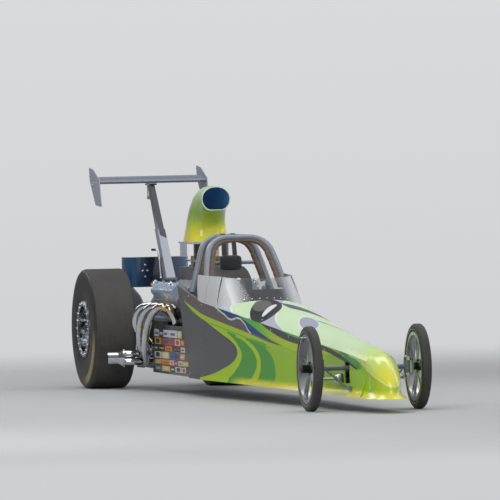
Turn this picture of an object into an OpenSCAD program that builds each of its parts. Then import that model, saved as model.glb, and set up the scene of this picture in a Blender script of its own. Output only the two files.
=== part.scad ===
// Rear-engine drag racing car, built as an assembly of separate pieces.
// Millimetres, +X to the nose, +Y to the car's left, +Z up, ground at z = 0.
// Pieces are drawn with the rear axle at x = 0, then "placed" centres the car on the origin.

/* [Wheelbase and track] */
// Distance between the two axles
wheelbase = 6100; // [5800:10:6400]
// Distance between the middles of the rear tyres
rear_track = 874; // [860:2:960]
// Distance between the middles of the front tyres
front_track = 730; // [700:2:800]

/* [Rear wheels] */
// Outer diameter of the slick
rear_tyre_d = 840; // [800:5:880]
// Section width of the slick
rear_tyre_w = 310; // [290:2:326]
// Diameter over the rear rim's lips
rear_rim_d = 400; // [370:5:430]
// Diameter of the through axle shaft
axle_shaft_d = 40; // [34:1:46]
// Outer diameter of the axle housing's tubes
axle_tube_d = 84; // [78:1:96]
// Diameter of the rear brake discs
rear_disc_d = 290; // [260:5:310]

/* [Front wheels] */
// Outer diameter of the front tyre
front_tyre_d = 560; // [530:5:600]
// Section width of the front tyre
front_tyre_w = 66; // [60:1:76]
// Diameter over the front rim's lips
front_rim_d = 456; // [430:2:476]
// Number of split spokes in a front rim
spoke_count = 5; // [4:1:7]
// Diameter of the stub axle that carries a front wheel
stub_d = 28; // [22:1:32]
// Diameter of the kingpin
kingpin_d = 18; // [14:1:22]
// Distance from a kingpin to the middle of its tyre
kingpin_offset = 75; // [70:1:90]
// Diameter of the front axle tube
front_axle_d = 32; // [26:1:38]
// Length of a steering arm from its kingpin to the tie rod
arm_l = 100; // [85:1:120]
// Diameter of the tie rod
tie_rod_d = 17; // [14:1:20]

/* [Body] */
// Thickness of the body panels
panel_t = 6; // [4:0.5:9]
// Half width of the body at the engine
bay_half_w = 300; // [290:1:320]
// Half width of the body at the cockpit
cockpit_half_w = 325; // [310:1:340]
// Half width of the body at the front axle
axle_half_w = 120; // [110:1:140]
// Height of the body's floor at the engine
floor_h = 135; // [120:1:160]
// Height of the side panel's rear top corner
tail_shoulder_h = 755; // [730:1:780]
// Height of the side panel's top edge at the cockpit
cockpit_shoulder_h = 652; // [630:1:680]
// Height of the side panel's top edge at the front axle
axle_shoulder_h = 376; // [360:1:390]
// Rise of the hood over the side panels at the windscreen
hood_rise = 72; // [50:1:90]
// Flare of the bottom lip at the nose
lip_flare = 50; // [20:1:60]
// Length of the nose ahead of the front axle
nose_overhang = 830; // [740:10:900]
// Height of the cowl's rear top corner
cowl_h = 835; // [800:1:860]

/* [Frame] */
// Diameter of the frame rails
rail_d = 38; // [32:1:44]
// Diameter of the roll cage's tubes
cage_d = 41; // [35:1:46]
// Height of the roll cage's top tubes
cage_h = 1084; // [1050:2:1120]
// Diameter of the frame's uprights and cross tubes
brace_d = 26; // [20:1:32]

/* [Engine] */
// Height of the crankshaft
crank_h = 450; // [440:1:462]
// Front face of the engine block, ahead of the rear axle
engine_front = 1700; // [1680:5:1710]
// Length of the engine block
engine_l = 740; // [700:5:760]
// Spacing of the exhaust ports
port_pitch = 150; // [140:1:156]
// Outer diameter of a header tube
header_d = 52; // [40:1:54]
// Outer diameter of a collector's outlet
collector_d = 90; // [84:1:96]

/* [Air scoop] */
// Height of the scoop's base over the ground
scoop_base_h = 1030; // [1010:2:1050]
// Height of the middle of the scoop's mouth
scoop_mouth_h = 1340; // [1280:2:1380]
// Width of the scoop's mouth
scoop_mouth_w = 204; // [170:2:220]
// Height of the scoop's mouth
scoop_mouth_t = 176; // [150:2:200]
// Wall of the scoop
scoop_wall = 6; // [4:0.5:9]

/* [Wing] */
// Span of the wing between its end plates
wing_span = 772; // [700:2:820]
// Height of the wing's leading edge
wing_h = 1444; // [1400:2:1480]
// Chord of the wing
wing_chord = 290; // [250:5:320]
// Thickness of the end plates
end_plate_t = 6; // [4:0.5:10]

/* [Hidden] */

// Clearance between pieces that are bolted or welded together
seat_gap = 0.3;
// Clearance of a turning shaft or pin in its bore
run_gap = 0.2;
// Clearance between pieces that move past each other
free_gap = 6;

function mix(a, b, t) = a + (b - a) * t;

rear_axle_z = rear_tyre_d / 2;
front_axle_z = front_tyre_d / 2;
rear_y = rear_track / 2;
front_y = front_track / 2;
nose_x = wheelbase + nose_overhang;
joint_x = wheelbase + nose_overhang - 350;
tail_x = 1860;
tail_slant = 400;
cockpit_x = 2650;
bay_x = 1000;
cowl_x = 3020;
lead_x = -285;
plate_tail = 327;
nose_tip = nose_x + lip_flare;
origin_x = -(nose_tip + lead_x - plate_tail) / 2;

module placed() {
    translate([origin_x, 0, 0]) children();
}

module both() {
    children();
    mirror([0, 1, 0]) children();
}

// Body lines, each as a short list of [x, value] along the car
width_line = [[bay_x, bay_half_w], [cockpit_x, cockpit_half_w], [wheelbase, axle_half_w],
    [joint_x, axle_half_w - 22]];
shoulder_line = [[bay_x, tail_shoulder_h + 40], [tail_x, tail_shoulder_h],
    [cockpit_x, cockpit_shoulder_h], [wheelbase, axle_shoulder_h], [joint_x, axle_shoulder_h - 46]];
rise_line = [[bay_x, hood_rise], [3100, hood_rise], [5000, hood_rise * 0.68], [wheelbase, hood_rise * 0.86],
    [joint_x, hood_rise * 0.84]];
lip_line = [[bay_x, lip_flare * 0.25], [4000, lip_flare * 0.3], [joint_x, lip_flare]];
floor_slope = 7.4 / 1000;
function half_w(x) = lookup(x, width_line);
function shoulder(x) = lookup(x, shoulder_line);
function rise(x) = lookup(x, rise_line);
function lip(x) = lookup(x, lip_line);
function floor_z(x) = floor_h - floor_slope * (x - bay_x);
hood_edge = 3;
function hood_foot(x) = shoulder(x) + seat_gap;
function hood_z(x, y) = hood_foot(x) + hood_edge + rise(x) * (1 - pow(min(1, abs(y) / half_w(x)), 2.2));

// Round bar between two points
module rod(p, q, d) {
    v = q - p;
    l = norm(v);
    translate(p)
        rotate([0, acos(v[2] / l), atan2(v[1], v[0])])
            cylinder(h = l, d = d, $fn = 24);
}

function unit(v) = v / norm(v);

// Points of a path with its corners rounded over the length c, n points to a corner
function round_path(p, c, n) = [for (i = [0 : len(p) - 1])
    each (i == 0 || i == len(p) - 1) ? [p[i]] :
        let (a = p[i] + unit(p[i - 1] - p[i]) * min(c, norm(p[i - 1] - p[i]) * 0.48),
             b = p[i] + unit(p[i + 1] - p[i]) * min(c, norm(p[i + 1] - p[i]) * 0.48))
        [for (k = [0 : n]) let (t = k / n)
            a * (1 - t) * (1 - t) + p[i] * 2 * t * (1 - t) + b * t * t]];

function tangents(p) = [for (i = [0 : len(p) - 1])
    unit(p[min(i + 1, len(p) - 1)] - p[max(i - 1, 0)])];
function carry(n, t) = unit(n - t * (n * t));
function normals(t, i, n) = i == len(t) ? [] :
    let (m = carry(n, t[i])) concat([m], normals(t, i + 1, m));

// Bent round tube along a path
module bent_tube(p, d, sides, start = [0.31, 0.2, 0.93]) {
    t = tangents(p);
    n = normals(t, 0, start);
    pts = [for (i = [0 : len(p) - 1]) for (k = [0 : sides - 1])
        let (a = 360 * k / sides)
        p[i] + (n[i] * cos(a) + cross(t[i], n[i]) * sin(a)) * d / 2];
    rings = len(p);
    faces = concat(
        [[for (k = [0 : sides - 1]) k]],
        [[for (k = [0 : sides - 1]) (rings - 1) * sides + sides - 1 - k]],
        [for (i = [0 : rings - 2]) for (k = [0 : sides - 1])
            let (a = i * sides + k, b = i * sides + (k + 1) % sides)
            each [[a, a + sides, b + sides], [a, b + sides, b]]]);
    polyhedron(pts, faces);
}

// Sheet of a body panel between two grids of points, outer and inner
module panel(outer, inner) {
    n = len(outer);
    m = len(outer[0]);
    s = n * m;
    pts = concat([for (r = outer) each r], [for (r = inner) each r]);
    function quad(a, b, c, d) = [[a, b, c], [a, c, d]];
    faces = concat(
        [for (i = [0 : n - 2]) for (j = [0 : m - 2])
            let (a = i * m + j) each quad(a, a + 1, a + m + 1, a + m)],
        [for (i = [0 : n - 2]) for (j = [0 : m - 2])
            let (a = s + i * m + j) each quad(a, a + m, a + m + 1, a + 1)],
        [for (i = [0 : n - 2]) let (a = i * m) each quad(a, a + m, s + a + m, s + a)],
        [for (i = [0 : n - 2]) let (a = i * m + m - 1) each quad(a, s + a, s + a + m, a + m)],
        [for (j = [0 : m - 2]) each quad(j, s + j, s + j + 1, j + 1)],
        [for (j = [0 : m - 2]) let (a = (n - 1) * m + j) each quad(a, a + 1, s + a + 1, s + a)]);
    polyhedron(pts, faces);
}

// Tube of rings, outer and inner, open at both ends
module sleeve(outer, inner) {
    n = len(outer);
    m = len(outer[0]);
    s = n * m;
    pts = concat([for (r = outer) each r], [for (r = inner) each r]);
    function quad(a, b, c, d) = [[a, b, c], [a, c, d]];
    faces = concat(
        [for (i = [0 : n - 2]) for (j = [0 : m - 1])
            let (a = i * m + j, b = i * m + (j + 1) % m) each quad(a, b, b + m, a + m)],
        [for (i = [0 : n - 2]) for (j = [0 : m - 1])
            let (a = s + i * m + j, b = s + i * m + (j + 1) % m) each quad(a, a + m, b + m, b)],
        [for (j = [0 : m - 1]) let (b = (j + 1) % m) each quad(j, s + j, s + b, b)],
        [for (j = [0 : m - 1]) let (a = (n - 1) * m + j, b = (n - 1) * m + (j + 1) % m)
            each quad(a, b, s + b, s + a)]);
    polyhedron(pts, faces);
}

// Ring round the Y axis from a list of [radius, y]
module wheel_ring(profile, fn = 96) {
    rotate([90, 0, 0])
        rotate_extrude($fn = fn)
            polygon([for (p = profile) [p[0], -p[1]]]);
}

// Flat plate drawn in x and z, from y0 to y1
module side_plate(points, y0, y1) {
    translate([0, y1, 0])
        rotate([90, 0, 0])
            linear_extrude(y1 - y0)
                polygon(points);
}

// Block drawn in y and z, from x0 to x1
module cross_block(points, x0, x1) {
    translate([x0, 0, 0])
        rotate([90, 0, 90])
            linear_extrude(x1 - x0)
                polygon(points);
}

// Frame, cage and plates

bay_rail_y = 205;
plate_y = 178;
plate_t = 12;
plate_front_x = 140;
mid_rail_z = 500;
pan_t = 5;
rail_end_x = wheelbase + 150;
function rail_y(x) = half_w(x) - panel_t - rail_d / 2 - (x > wheelbase ? 2 : 1);
function low_rail_z(x) = floor_z(x) + pan_t + rail_d / 2 + seat_gap;
function top_rail_z(x) = shoulder(x) - rail_d / 2 - 8;
low_rail = [for (x = [plate_front_x + seat_gap, 900, 1800, cockpit_x, rail_end_x])
    [x, x < 500 ? plate_y + plate_t / 2 : x < 1900 ? bay_rail_y : rail_y(x), low_rail_z(x)]];
mid_rail = [for (x = [plate_front_x + seat_gap, 900, 1990])
    [x, x < 500 ? plate_y + plate_t / 2 : bay_rail_y, mid_rail_z]];
top_rail = [for (x = [1920, cockpit_x, rail_end_x]) [x, rail_y(x), top_rail_z(x)]];

module frame_rails() {
    color("SlateGray") both() {
        bent_tube(low_rail, rail_d, 16);
        bent_tube(mid_rail, mid_rail_d, 16);
        bent_tube(top_rail, rail_d, 16);
    }
}

function on_rail(rail, x) = [x, lookup(x, [for (p = rail) [p[0], p[1]]]), lookup(x, [for (p = rail) [p[0], p[2]]])];
function along(rail, x) = unit(on_rail(rail, x + 1) - on_rail(rail, x - 1));
function flip(p) = [p[0], -p[1], p[2]];
// Distance from a rail's axis, along u, at which a tube of diameter d just clears the rail
function cut_back(u, t, r, d) = (r + seat_gap + abs(u * t) * d / 2) / norm(cross(u, t));

// Tube between two rails, cut back to clear both: p and q on their axes, t and v along them
module brace(p, t, d1, q, v, d2, d) {
    u = unit(q - p);
    rod(p + u * cut_back(u, t, d1 / 2, d), q - u * cut_back(u, v, d2 / 2, d), d);
}

// Uprights, and cross tubes by level (0 low, 1 top), placed by shares of the rails' length ahead of the cockpit
function rail_x(share) = mix(cockpit_x, rail_end_x, share);
// The last upright stands behind the steering rack
rack_clear = 110;
upright_x = concat([for (s = [0.18, 0.44, 0.71]) rail_x(s)], [wheelbase - arm_l - rack_clear]);
cross_x = [for (c = [[0.03, 0], [0.35, 0], [0.62, 0], [0.35, 1], [0.62, 1]]) [rail_x(c[0]), c[1]]];
stay_x = [1060, 1780];
bay_front_x = 1960;
mid_rail_d = rail_d - 6;

module frame_braces() {
    color("SlateGray") {
        both() {
            for (x = upright_x)
                brace(on_rail(low_rail, x), along(low_rail, x), rail_d,
                    on_rail(top_rail, x), along(top_rail, x), rail_d, brace_d);
            brace(on_rail(low_rail, bay_front_x), along(low_rail, bay_front_x), rail_d,
                on_rail(mid_rail, bay_front_x), along(mid_rail, bay_front_x), mid_rail_d, brace_d);
            brace(on_rail(mid_rail, bay_front_x), along(mid_rail, bay_front_x), mid_rail_d,
                on_rail(top_rail, bay_front_x), along(top_rail, bay_front_x), rail_d, brace_d);
            for (x = stay_x) {
                p = on_rail(low_rail, x);
                rod(p + [0, cut_back([0, 1, 0], along(low_rail, x), rail_d / 2, 16), 0],
                    [x, bay_half_w - seat_gap, p[2]], 16);
            }
        }
        for (c = cross_x) {
            rail = c[1] == 0 ? low_rail : top_rail;
            p = on_rail(rail, c[0]);
            t = along(rail, c[0]);
            brace(p, t, rail_d, flip(p), flip(t), rail_d, brace_d);
        }
    }
}

hoop_x = 2080;
arch_x = 2410;
hoop_foot_x = hoop_x + 110;
arch_foot_x = arch_x + 290;
hoop_half_w = 170;
arch_half_w = 196;
cage_corner = 130;
knee_z = cage_h - 240;
hoop_knee = [hoop_x + 85, 240, knee_z];
arch_knee = [arch_x + 150, 262, knee_z];
// Foot of a cage leg: on the top rail at x, cut back along the leg to clear the rail and the side panel
function foot(x, knee) = let (p = on_rail(top_rail, x) - [0, (cage_d - rail_d) / 2 + 1, 0], u = unit(knee - p))
    p + u * cut_back(u, along(top_rail, x), rail_d / 2, cage_d * 0.95);
function hoop_path(x, w, foot_x, knee) = let (leg = [foot(foot_x, knee), knee, [x, w, cage_h]])
    concat(leg, [for (i = [2 : -1 : 0]) flip(leg[i])]);
pad_bar_d = 24;
pad_bar_rise = 0.26;
pad_bar_at = mix(hoop_knee, [hoop_x, hoop_half_w, cage_h], pad_bar_rise);

module roll_cage() {
    roof_y = 88;
    roof_d = cage_d - 6;
    bar_y = pad_bar_at[1] - cage_d / 2 - pad_bar_d * 0.17 - seat_gap;
    color("LightSlateGray") {
        bent_tube(round_path(hoop_path(hoop_x, hoop_half_w, hoop_foot_x, hoop_knee), cage_corner, 6), cage_d, 14);
        bent_tube(round_path(hoop_path(arch_x, arch_half_w, arch_foot_x, arch_knee), cage_corner, 6), cage_d, 14);
        both()
            rod([hoop_x + cage_d / 2 + seat_gap, roof_y, cage_h],
                [arch_x - cage_d / 2 - seat_gap, roof_y, cage_h], roof_d);
        rod([pad_bar_at[0], -bar_y, pad_bar_at[2]], [pad_bar_at[0], bar_y, pad_bar_at[2]], pad_bar_d);
    }
}

box_bottom_z = 700;

module rear_plates() {
    color("SlateGray") both() difference() {
        side_plate([[-70, 140], [plate_front_x, 140], [plate_front_x, 600], [60, 640],
            [-190, box_bottom_z - seat_gap], [-380, box_bottom_z - seat_gap], [-380, 675],
            [-200, 640], [-70, 540]], plate_y, plate_y + plate_t);
        translate([0, plate_y - 10, rear_axle_z])
            rotate([-90, 0, 0])
                cylinder(h = 40, d = axle_tube_d + 2 * seat_gap, $fn = 64);
    }
}

module motor_plate() {
    y = bay_rail_y - rail_d / 2 + 3 - seat_gap;
    color("Silver") cross_block([[-y, mid_rail_z - 20], [-120, 300], [120, 300], [y, mid_rail_z - 20],
        [y, mid_rail_z + 20], [110, 560], [-110, 560], [-y, mid_rail_z + 20]],
        engine_front + seat_gap, engine_front + 8);
}

// Engine, drawn on its bank axis: u along the cylinders, v across them, outward and down

engine_back = engine_front - engine_l;
deck_u = 230;
head_u = 330;
cover_u = 405;
bank_v = 85;
function bank(u, v) = [(u + v) * sin(45), crank_h + (u - v) * sin(45)];

module engine_block() {
    half = [[0, 190], [105, 190], [125, crank_h - 90], [130, crank_h + 25], bank(deck_u, bank_v),
        bank(deck_u, -bank_v), [70, crank_h + 190], [0, crank_h + 190]];
    color("DimGray") cross_block(concat(half, [for (i = [len(half) - 2 : -1 : 1]) [-half[i][0], half[i][1]]]),
        engine_back, engine_front);
}

module cylinder_heads() {
    g = seat_gap;
    color("Silver") both()
        cross_block([bank(deck_u + g, bank_v - 10), bank(deck_u + 30, bank_v), bank(head_u - 20, bank_v),
            bank(head_u, bank_v - 20), bank(head_u, -bank_v), bank(deck_u + g, -bank_v)],
            engine_back + 30, engine_front - 20);
}

module valve_covers() {
    u = head_u + seat_gap;
    color("Silver") both()
        cross_block([bank(u, 58), bank(u + 12, 58), bank(cover_u - 14, 50), bank(cover_u, 38),
            bank(cover_u, -38), bank(cover_u - 14, -50), bank(u + 12, -58), bank(u, -58)],
            engine_back + 45, engine_front - 35);
}

carb_h = 165;
manifold_top = scoop_base_h - carb_h;

// The flanks follow the heads' inner faces at 45 degrees, then close in to the carburettors' base
module intake_manifold() {
    valley = crank_h + 190 + seat_gap + 0.2;
    flank = valley - crank_h - 121;
    half = [[0, valley], [flank, valley], [flank + (manifold_top - valley) * 0.415, mix(valley, manifold_top, 0.415)],
        [105, mix(valley, manifold_top, 0.6)], [112, manifold_top]];
    color("Silver") cross_block(concat(half, [[0, manifold_top]],
        [for (i = [len(half) - 1 : -1 : 1]) [-half[i][0], half[i][1]]]),
        engine_back + 60, engine_front - 60);
}

scoop_x = 1400;
carb_x = [scoop_x - 110, scoop_x + 110];

module carburettors() {
    z = manifold_top + seat_gap;
    top = scoop_base_h - seat_gap;
    color("DimGray") for (x = carb_x) {
        translate([x, 0, z]) {
            translate([-70, -85, 0]) cube([140, 170, 14]);
            translate([-52, -75, 14]) cube([104, 150, 62]);
            for (s = [-1, 1])
                translate([s * 78 - 26, -62, 24]) cube([52, 124, 44]);
            translate([0, 0, 76]) cylinder(h = top - z - 76, d = 128, $fn = 48);
        }
    }
}

// Air scoop, a loft that turns from its base on the carburettors to the round mouth

mouth_x = 1745;
scoop_half_l = 205;
scoop_half_w = 145;
tray_t = 12;
tray_edge = 6;
skirt_h = 92;
skirt_l = 200;
scoop_steps = 9;
scoop_sides = 28;
function bend(t) = [mix(mix(scoop_x, scoop_x + 10, t), mix(scoop_x + 10, mouth_x, t), t),
    mix(mix(scoop_base_h + tray_t, scoop_mouth_h, t), scoop_mouth_h, t)];
function soft(c, n) = sign(c) * pow(abs(c), 2 / n);
function scoop_ring(t, wall) = let (c = bend(t), f = 90 * t,
        a = mix(scoop_half_w, scoop_mouth_w / 2, pow(t, 0.55)) - wall,
        b = mix(scoop_half_l, scoop_mouth_t / 2, pow(t, 0.75)) - wall, n = mix(3.4, 2.1, t))
    [for (k = [0 : scoop_sides - 1]) let (g = 360 * k / scoop_sides,
        y = a * soft(cos(g), n), s = min(b * soft(sin(g), n), b * mix(1, 0.88, t)))
        [c[0] + s * cos(f), y, c[1] - s * sin(f)]];

module air_scoop() {
    color("YellowGreen") sleeve([for (i = [0 : scoop_steps]) scoop_ring(i / scoop_steps, 0)],
        [for (i = [0 : scoop_steps]) scoop_ring(i / scoop_steps, scoop_wall)]);
    color("LightSlateGray") difference() {
        union() {
            translate([scoop_x - scoop_half_l - tray_edge, -scoop_half_w - tray_edge, scoop_base_h])
                cube([2 * (scoop_half_l + tray_edge), 2 * (scoop_half_w + tray_edge), tray_t - seat_gap]);
            both() translate([scoop_x - 0.8 * skirt_l, scoop_half_w + tray_edge - scoop_wall, scoop_base_h - skirt_h])
                cube([skirt_l, scoop_wall, skirt_h + tray_t - seat_gap]);
        }
        for (x = carb_x)
            translate([x, 0, scoop_base_h - 5]) cylinder(h = 30, d = 110, $fn = 48);
    }
}

// Headers: four tubes a side from the ports into a collector that points outward

port_y = bank(290, bank_v)[0];
port_z = bank(290, bank_v)[1];
port_x = engine_back + 145;
collector_aim = unit([-0.17, -0.985, 0]);
collector_in = [500, -400, 225];
collector_l = 118;
cluster = header_d / 2 + 1.5;
// Lanes into the collector: [offset to the front, offset up] in steps of the cluster
lanes = [[1, 1], [-1, 1], [1, -1], [-1, -1]];
function entry(n) = collector_in - collector_aim * (seat_gap + 0.2)
    + [-collector_aim[1], collector_aim[0], 0] * lanes[n][0] * cluster + [0, 0, lanes[n][1] * cluster];
function lane_point(n, x) = [x, collector_in[1] + 108 - lanes[n][0] * cluster, entry(n)[2]];
function port(i) = [port_x + i * port_pitch, -port_y - 0.8, port_z + 0.8];
port_stub = [0, -22, -22];
// Tubes from the rear port to the front port: [lane, end of the lane, bends from the port]
tubes = [
    [1, 850, [[-20, -65, 15], [-75, -155, -20], [-120, -160, -150], [-170, -64, -246]]],
    [0, 780, [[-15, -60, 15], [-75, -135, -25], [-190, -145, -150], [-245, -134, -262]]],
    [2, 850, [[-10, -55, 15], [-60, -112, -30], [-255, -119, -170], [-300, -119, -300]]],
    [3, 1180, [[12, -46, 6], [28, -44, -10], [33, 6, -96], [20, 4, -180], [-90, 0, -310]]]];

module header_tubes() {
    for (i = [0 : 3]) {
        n = tubes[i][0];
        e = entry(n);
        turn = e - collector_aim * (108 - lanes[n][0] * cluster);
        path = concat([port(i), port(i) + port_stub], [for (b = tubes[i][2]) port(i) + b],
            [lane_point(n, tubes[i][1]), [turn[0], turn[1], e[2]], e]);
        bent_tube(round_path(path, 90, 3), header_d, 12);
    }
}

module header_right() {
    color("Gainsboro") header_tubes();
}

module header_left() {
    color("Gainsboro") mirror([0, 1, 0]) header_tubes();
}

module collectors() {
    wall = 3;
    r_in = cluster * sqrt(2) + header_d / 2 + 2;
    r_out = collector_d / 2;
    color("Gainsboro") both()
        translate(collector_in)
            rotate([0, 90, atan2(collector_aim[1], collector_aim[0])])
                rotate_extrude($fn = 64)
                    polygon([[0, 0], [r_in, 0], [r_in, 12], [r_out, 46], [r_out, collector_l],
                        [r_out - wall, collector_l], [r_out - wall, 30], [0, 30]]);
}

module transmission() {
    snout = 240;
    color("Silver") translate([snout, 0, crank_h - 12])
        rotate([0, 90, 0])
            rotate_extrude($fn = 72)
                polygon([[0, 0], [58, 0], [64, 70], [118, 110], [132, 130], [132, 420], [150, 470],
                    [188, 560], [188, engine_back - snout - seat_gap], [0, engine_back - snout - seat_gap]]);
}

// Rear axle

housing_end = 215;
disc_y = 236;
disc_t = 8;

module axle_housing() {
    color("DimGray") translate([0, 0, rear_axle_z]) difference() {
        union() {
            wheel_ring([[0, -housing_end], [axle_tube_d / 2, -housing_end], [axle_tube_d / 2, -140],
                [70, -110], [122, -70], [132, -40], [132, 40], [122, 70], [70, 110],
                [axle_tube_d / 2, 140], [axle_tube_d / 2, housing_end], [0, housing_end]], 72);
            translate([60, 0, 0]) rotate([0, 90, 0]) cylinder(h = 165, d = 116, $fn = 48);
        }
        wheel_ring([[0, -housing_end - 5], [axle_shaft_d / 2 + run_gap, -housing_end - 5],
            [axle_shaft_d / 2 + run_gap, 25 - housing_end], [axle_shaft_d / 2 + 5, 30 - housing_end],
            [axle_shaft_d / 2 + 5, housing_end - 30], [axle_shaft_d / 2 + run_gap, housing_end - 25],
            [axle_shaft_d / 2 + run_gap, housing_end + 5], [0, housing_end + 5]], 48);
    }
}

module brake_calipers() {
    r = rear_disc_d / 2;
    color("Firebrick") both() translate([0, 0, rear_axle_z]) difference() {
        union() {
            translate([-62, housing_end - 11, -62]) cube([r + 64, 10.5, 124]);
            translate([r - 50, housing_end - 0.5, -45]) cube([82, 46, 90]);
        }
        rotate([-90, 0, 0]) cylinder(h = 400, d = axle_tube_d + 2 * seat_gap, $fn = 64);
        translate([0, disc_y - disc_t / 2 - 5, 0])
            rotate([-90, 0, 0]) cylinder(h = disc_t + 10, r = r + 5, $fn = 96);
    }
}

module axle_shaft() {
    color("Silver") translate([0, 0, rear_axle_z])
        wheel_ring([[0, -rear_y - 42], [axle_shaft_d / 2, -rear_y - 42],
            [axle_shaft_d / 2, rear_y + 42], [0, rear_y + 42]], 48);
}

module brake_discs() {
    b = axle_shaft_d / 2 + seat_gap;
    e = rear_y - rear_tyre_w / 2 - 0.5;
    color("Gray") both() translate([0, 0, rear_axle_z])
        wheel_ring([[b, housing_end + free_gap], [46, housing_end + free_gap],
            [46, disc_y - disc_t / 2], [rear_disc_d / 2, disc_y - disc_t / 2],
            [rear_disc_d / 2, disc_y + disc_t / 2], [46, disc_y + disc_t / 2], [46, e], [b, e]], 72);
}

rear_seat_r = rear_rim_d / 2 - 10;
rear_bead_w = rear_tyre_w / 2 - 15;

module rear_rims() {
    b = axle_shaft_d / 2 + seat_gap;
    w = rear_bead_w + seat_gap;
    r = rear_seat_r;
    color("Silver") both() translate([0, rear_y, rear_axle_z])
        wheel_ring([[b, -rear_tyre_w / 2], [58, -rear_tyre_w / 2], [62, -20], [r - 40, -12], [r - 8, -2],
            [r - 8, -w - 4], [r + 10, -w - 7], [r + 10, -w], [r, -w], [r, w], [r + 10, w],
            [r + 10, w + 7], [r - 8, w + 4], [r - 8, 12], [r - 40, 0], [62, 0], [56, 30], [b, 30]], 96);
}

module rear_tyres() {
    s = rear_seat_r + seat_gap;
    w = rear_bead_w;
    h = rear_tyre_w / 2;
    t = rear_tyre_d / 2;
    half = [[s, w], [s + 12, w], [s + 28, w + 3], [s + 60, h - 3], [s + 95, h], [t - 75, h], [t - 40, h - 3],
        [t - 18, h - 9], [t - 5, h - 21], [t, h - 38]];
    color("DimGray") both() translate([0, rear_y, rear_axle_z])
        wheel_ring(concat(half, [for (i = [len(half) - 1 : -1 : 0]) [half[i][0], -half[i][1]]]), 120);
}

module chute_mount() {
    y = plate_y - seat_gap;
    color("SlateGray") difference() {
        union() {
            rod([20, -y, 205], [20, y, 205], 32);
            for (s = [-1, 1])
                side_plate([[-95, 188], [20, 192], [20, 218], [-95, 222]], s * 22 - 5, s * 22 + 5);
        }
        translate([-76, 0, 205]) rotate([90, 0, 0]) cylinder(h = 120, d = 13, center = true, $fn = 48);
    }
}

module rear_box() {
    color("Black") translate([-280, 0, box_bottom_z])
        linear_extrude(212) polygon([for (c = [[1, 1], [-1, 1], [-1, -1], [1, -1]])
            for (k = [0 : 4]) let (a = (c[0] * c[1] > 0 ? k : 4 - k) * 22.5)
            [c[0] * (20 + 80 * cos(a)), c[1] * (155 + 80 * sin(a))]]);
}

// Wing and its strut

stand_x = 195;
stand_z = 770;
wing_lift = 24;
// Wing section, as parts of the chord and millimetres over the chord line
section = [[0, 0], [0.02, 13], [0.1, 24], [0.28, 30], [0.55, 24], [0.8, 13], [1, 3], [1, -3],
    [0.8, -4], [0.55, -9], [0.28, -15], [0.1, -16], [0.02, -10]];
function wing_pt(s) = [lead_x - wing_chord * s[0], wing_h + wing_lift * s[0] + s[1]];

module wing_stand() {
    p = on_rail(mid_rail, stand_x);
    q = [stand_x, 30, stand_z - 8];
    color("SlateGray") {
        translate([stand_x - 65, -45, stand_z - 12]) cube([130, 90, 12 - seat_gap]);
        both() rod(p + unit(q - p) * cut_back(unit(q - p), along(mid_rail, stand_x), mid_rail_d / 2, 28), q, 28);
    }
}

strut_top = wing_pt([0.1, -16])[1] - seat_gap;

strut_foot_l = 110;
strut_head_l = 95;
strut_head_x = lead_x - 120;
blade_inset = 5;
sleeve_share = 0.52;

// Strut: a tapered sleeve from the stand, and a slimmer blade in it that carries the wing
module wing_strut() {
    head_z = strut_top - 12;
    function strut_x(t) = mix(stand_x - strut_foot_l / 2, strut_head_x, t);
    module slab(t, inset, h) {
        l = mix(strut_foot_l, strut_head_l, t) - 2 * inset;
        w = mix(64, 40, t) - 2 * inset;
        translate([strut_x(t) + inset, -w / 2, mix(stand_z, head_z, t)]) cube([l, w, h]);
    }
    color("Silver") {
        hull() {
            slab(0, 0, 4);
            slab(sleeve_share, 0, 4);
        }
        hull() {
            slab(sleeve_share - 0.05, blade_inset, 4);
            slab(1, blade_inset, 10);
        }
        translate([strut_head_x + 8, -34, strut_top - 14]) cube([strut_head_l - 16, 68, 12]);
    }
}

module wing_plane() {
    color("LightSlateGray") side_plate([for (s = section) wing_pt(s)], -wing_span / 2, wing_span / 2);
}

// Outline of an end plate, as distances from the wing's leading edge
plate_outline = [[-plate_tail, 88], [-plate_tail + 12, 101], [-185, 87], [10, 18], [63, -154], [45, -172],
    [-125, -162], [-plate_tail + 22, 6]];

module wing_end_plates() {
    y = wing_span / 2 + seat_gap;
    color("LightSlateGray") both()
        side_plate([for (c = plate_outline) [lead_x + c[0], wing_h + c[1]]], y, y + end_plate_t);
}

adjuster_gap = 45;

module wing_adjuster() {
    x = strut_head_x - adjuster_gap;
    z = wing_h - 118;
    share = (lead_x - x) / wing_chord;
    under = lookup(share, [for (i = [7 : 12]) section[19 - i]]);
    slope = (stand_x - strut_foot_l / 2 - strut_head_x) / (strut_top - 12 - stand_z);
    function back_x(h) = strut_head_x + blade_inset + (strut_top - 12 - h) * slope - 1;
    color("Silver") {
        side_plate([[back_x(z - 14), z - 14], [x - 18, z - 10], [x - 18, z + 10], [back_x(z + 14), z + 14]], -6, 6);
        rod([x, 0, z], [x, 0, wing_pt([share, under])[1] - 1.4], 16);
    }
}

// Body panels

// Rear edge of the side panel, by the share of its height over the floor
function tail_edge(e) = tail_x + tail_slant * (1 - e);
axle_slot = [30, 85];
// Stations that the side panels and the hood share, where the body bends at the axle
front_stations = [wheelbase - 110, wheelbase + 110];

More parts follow.
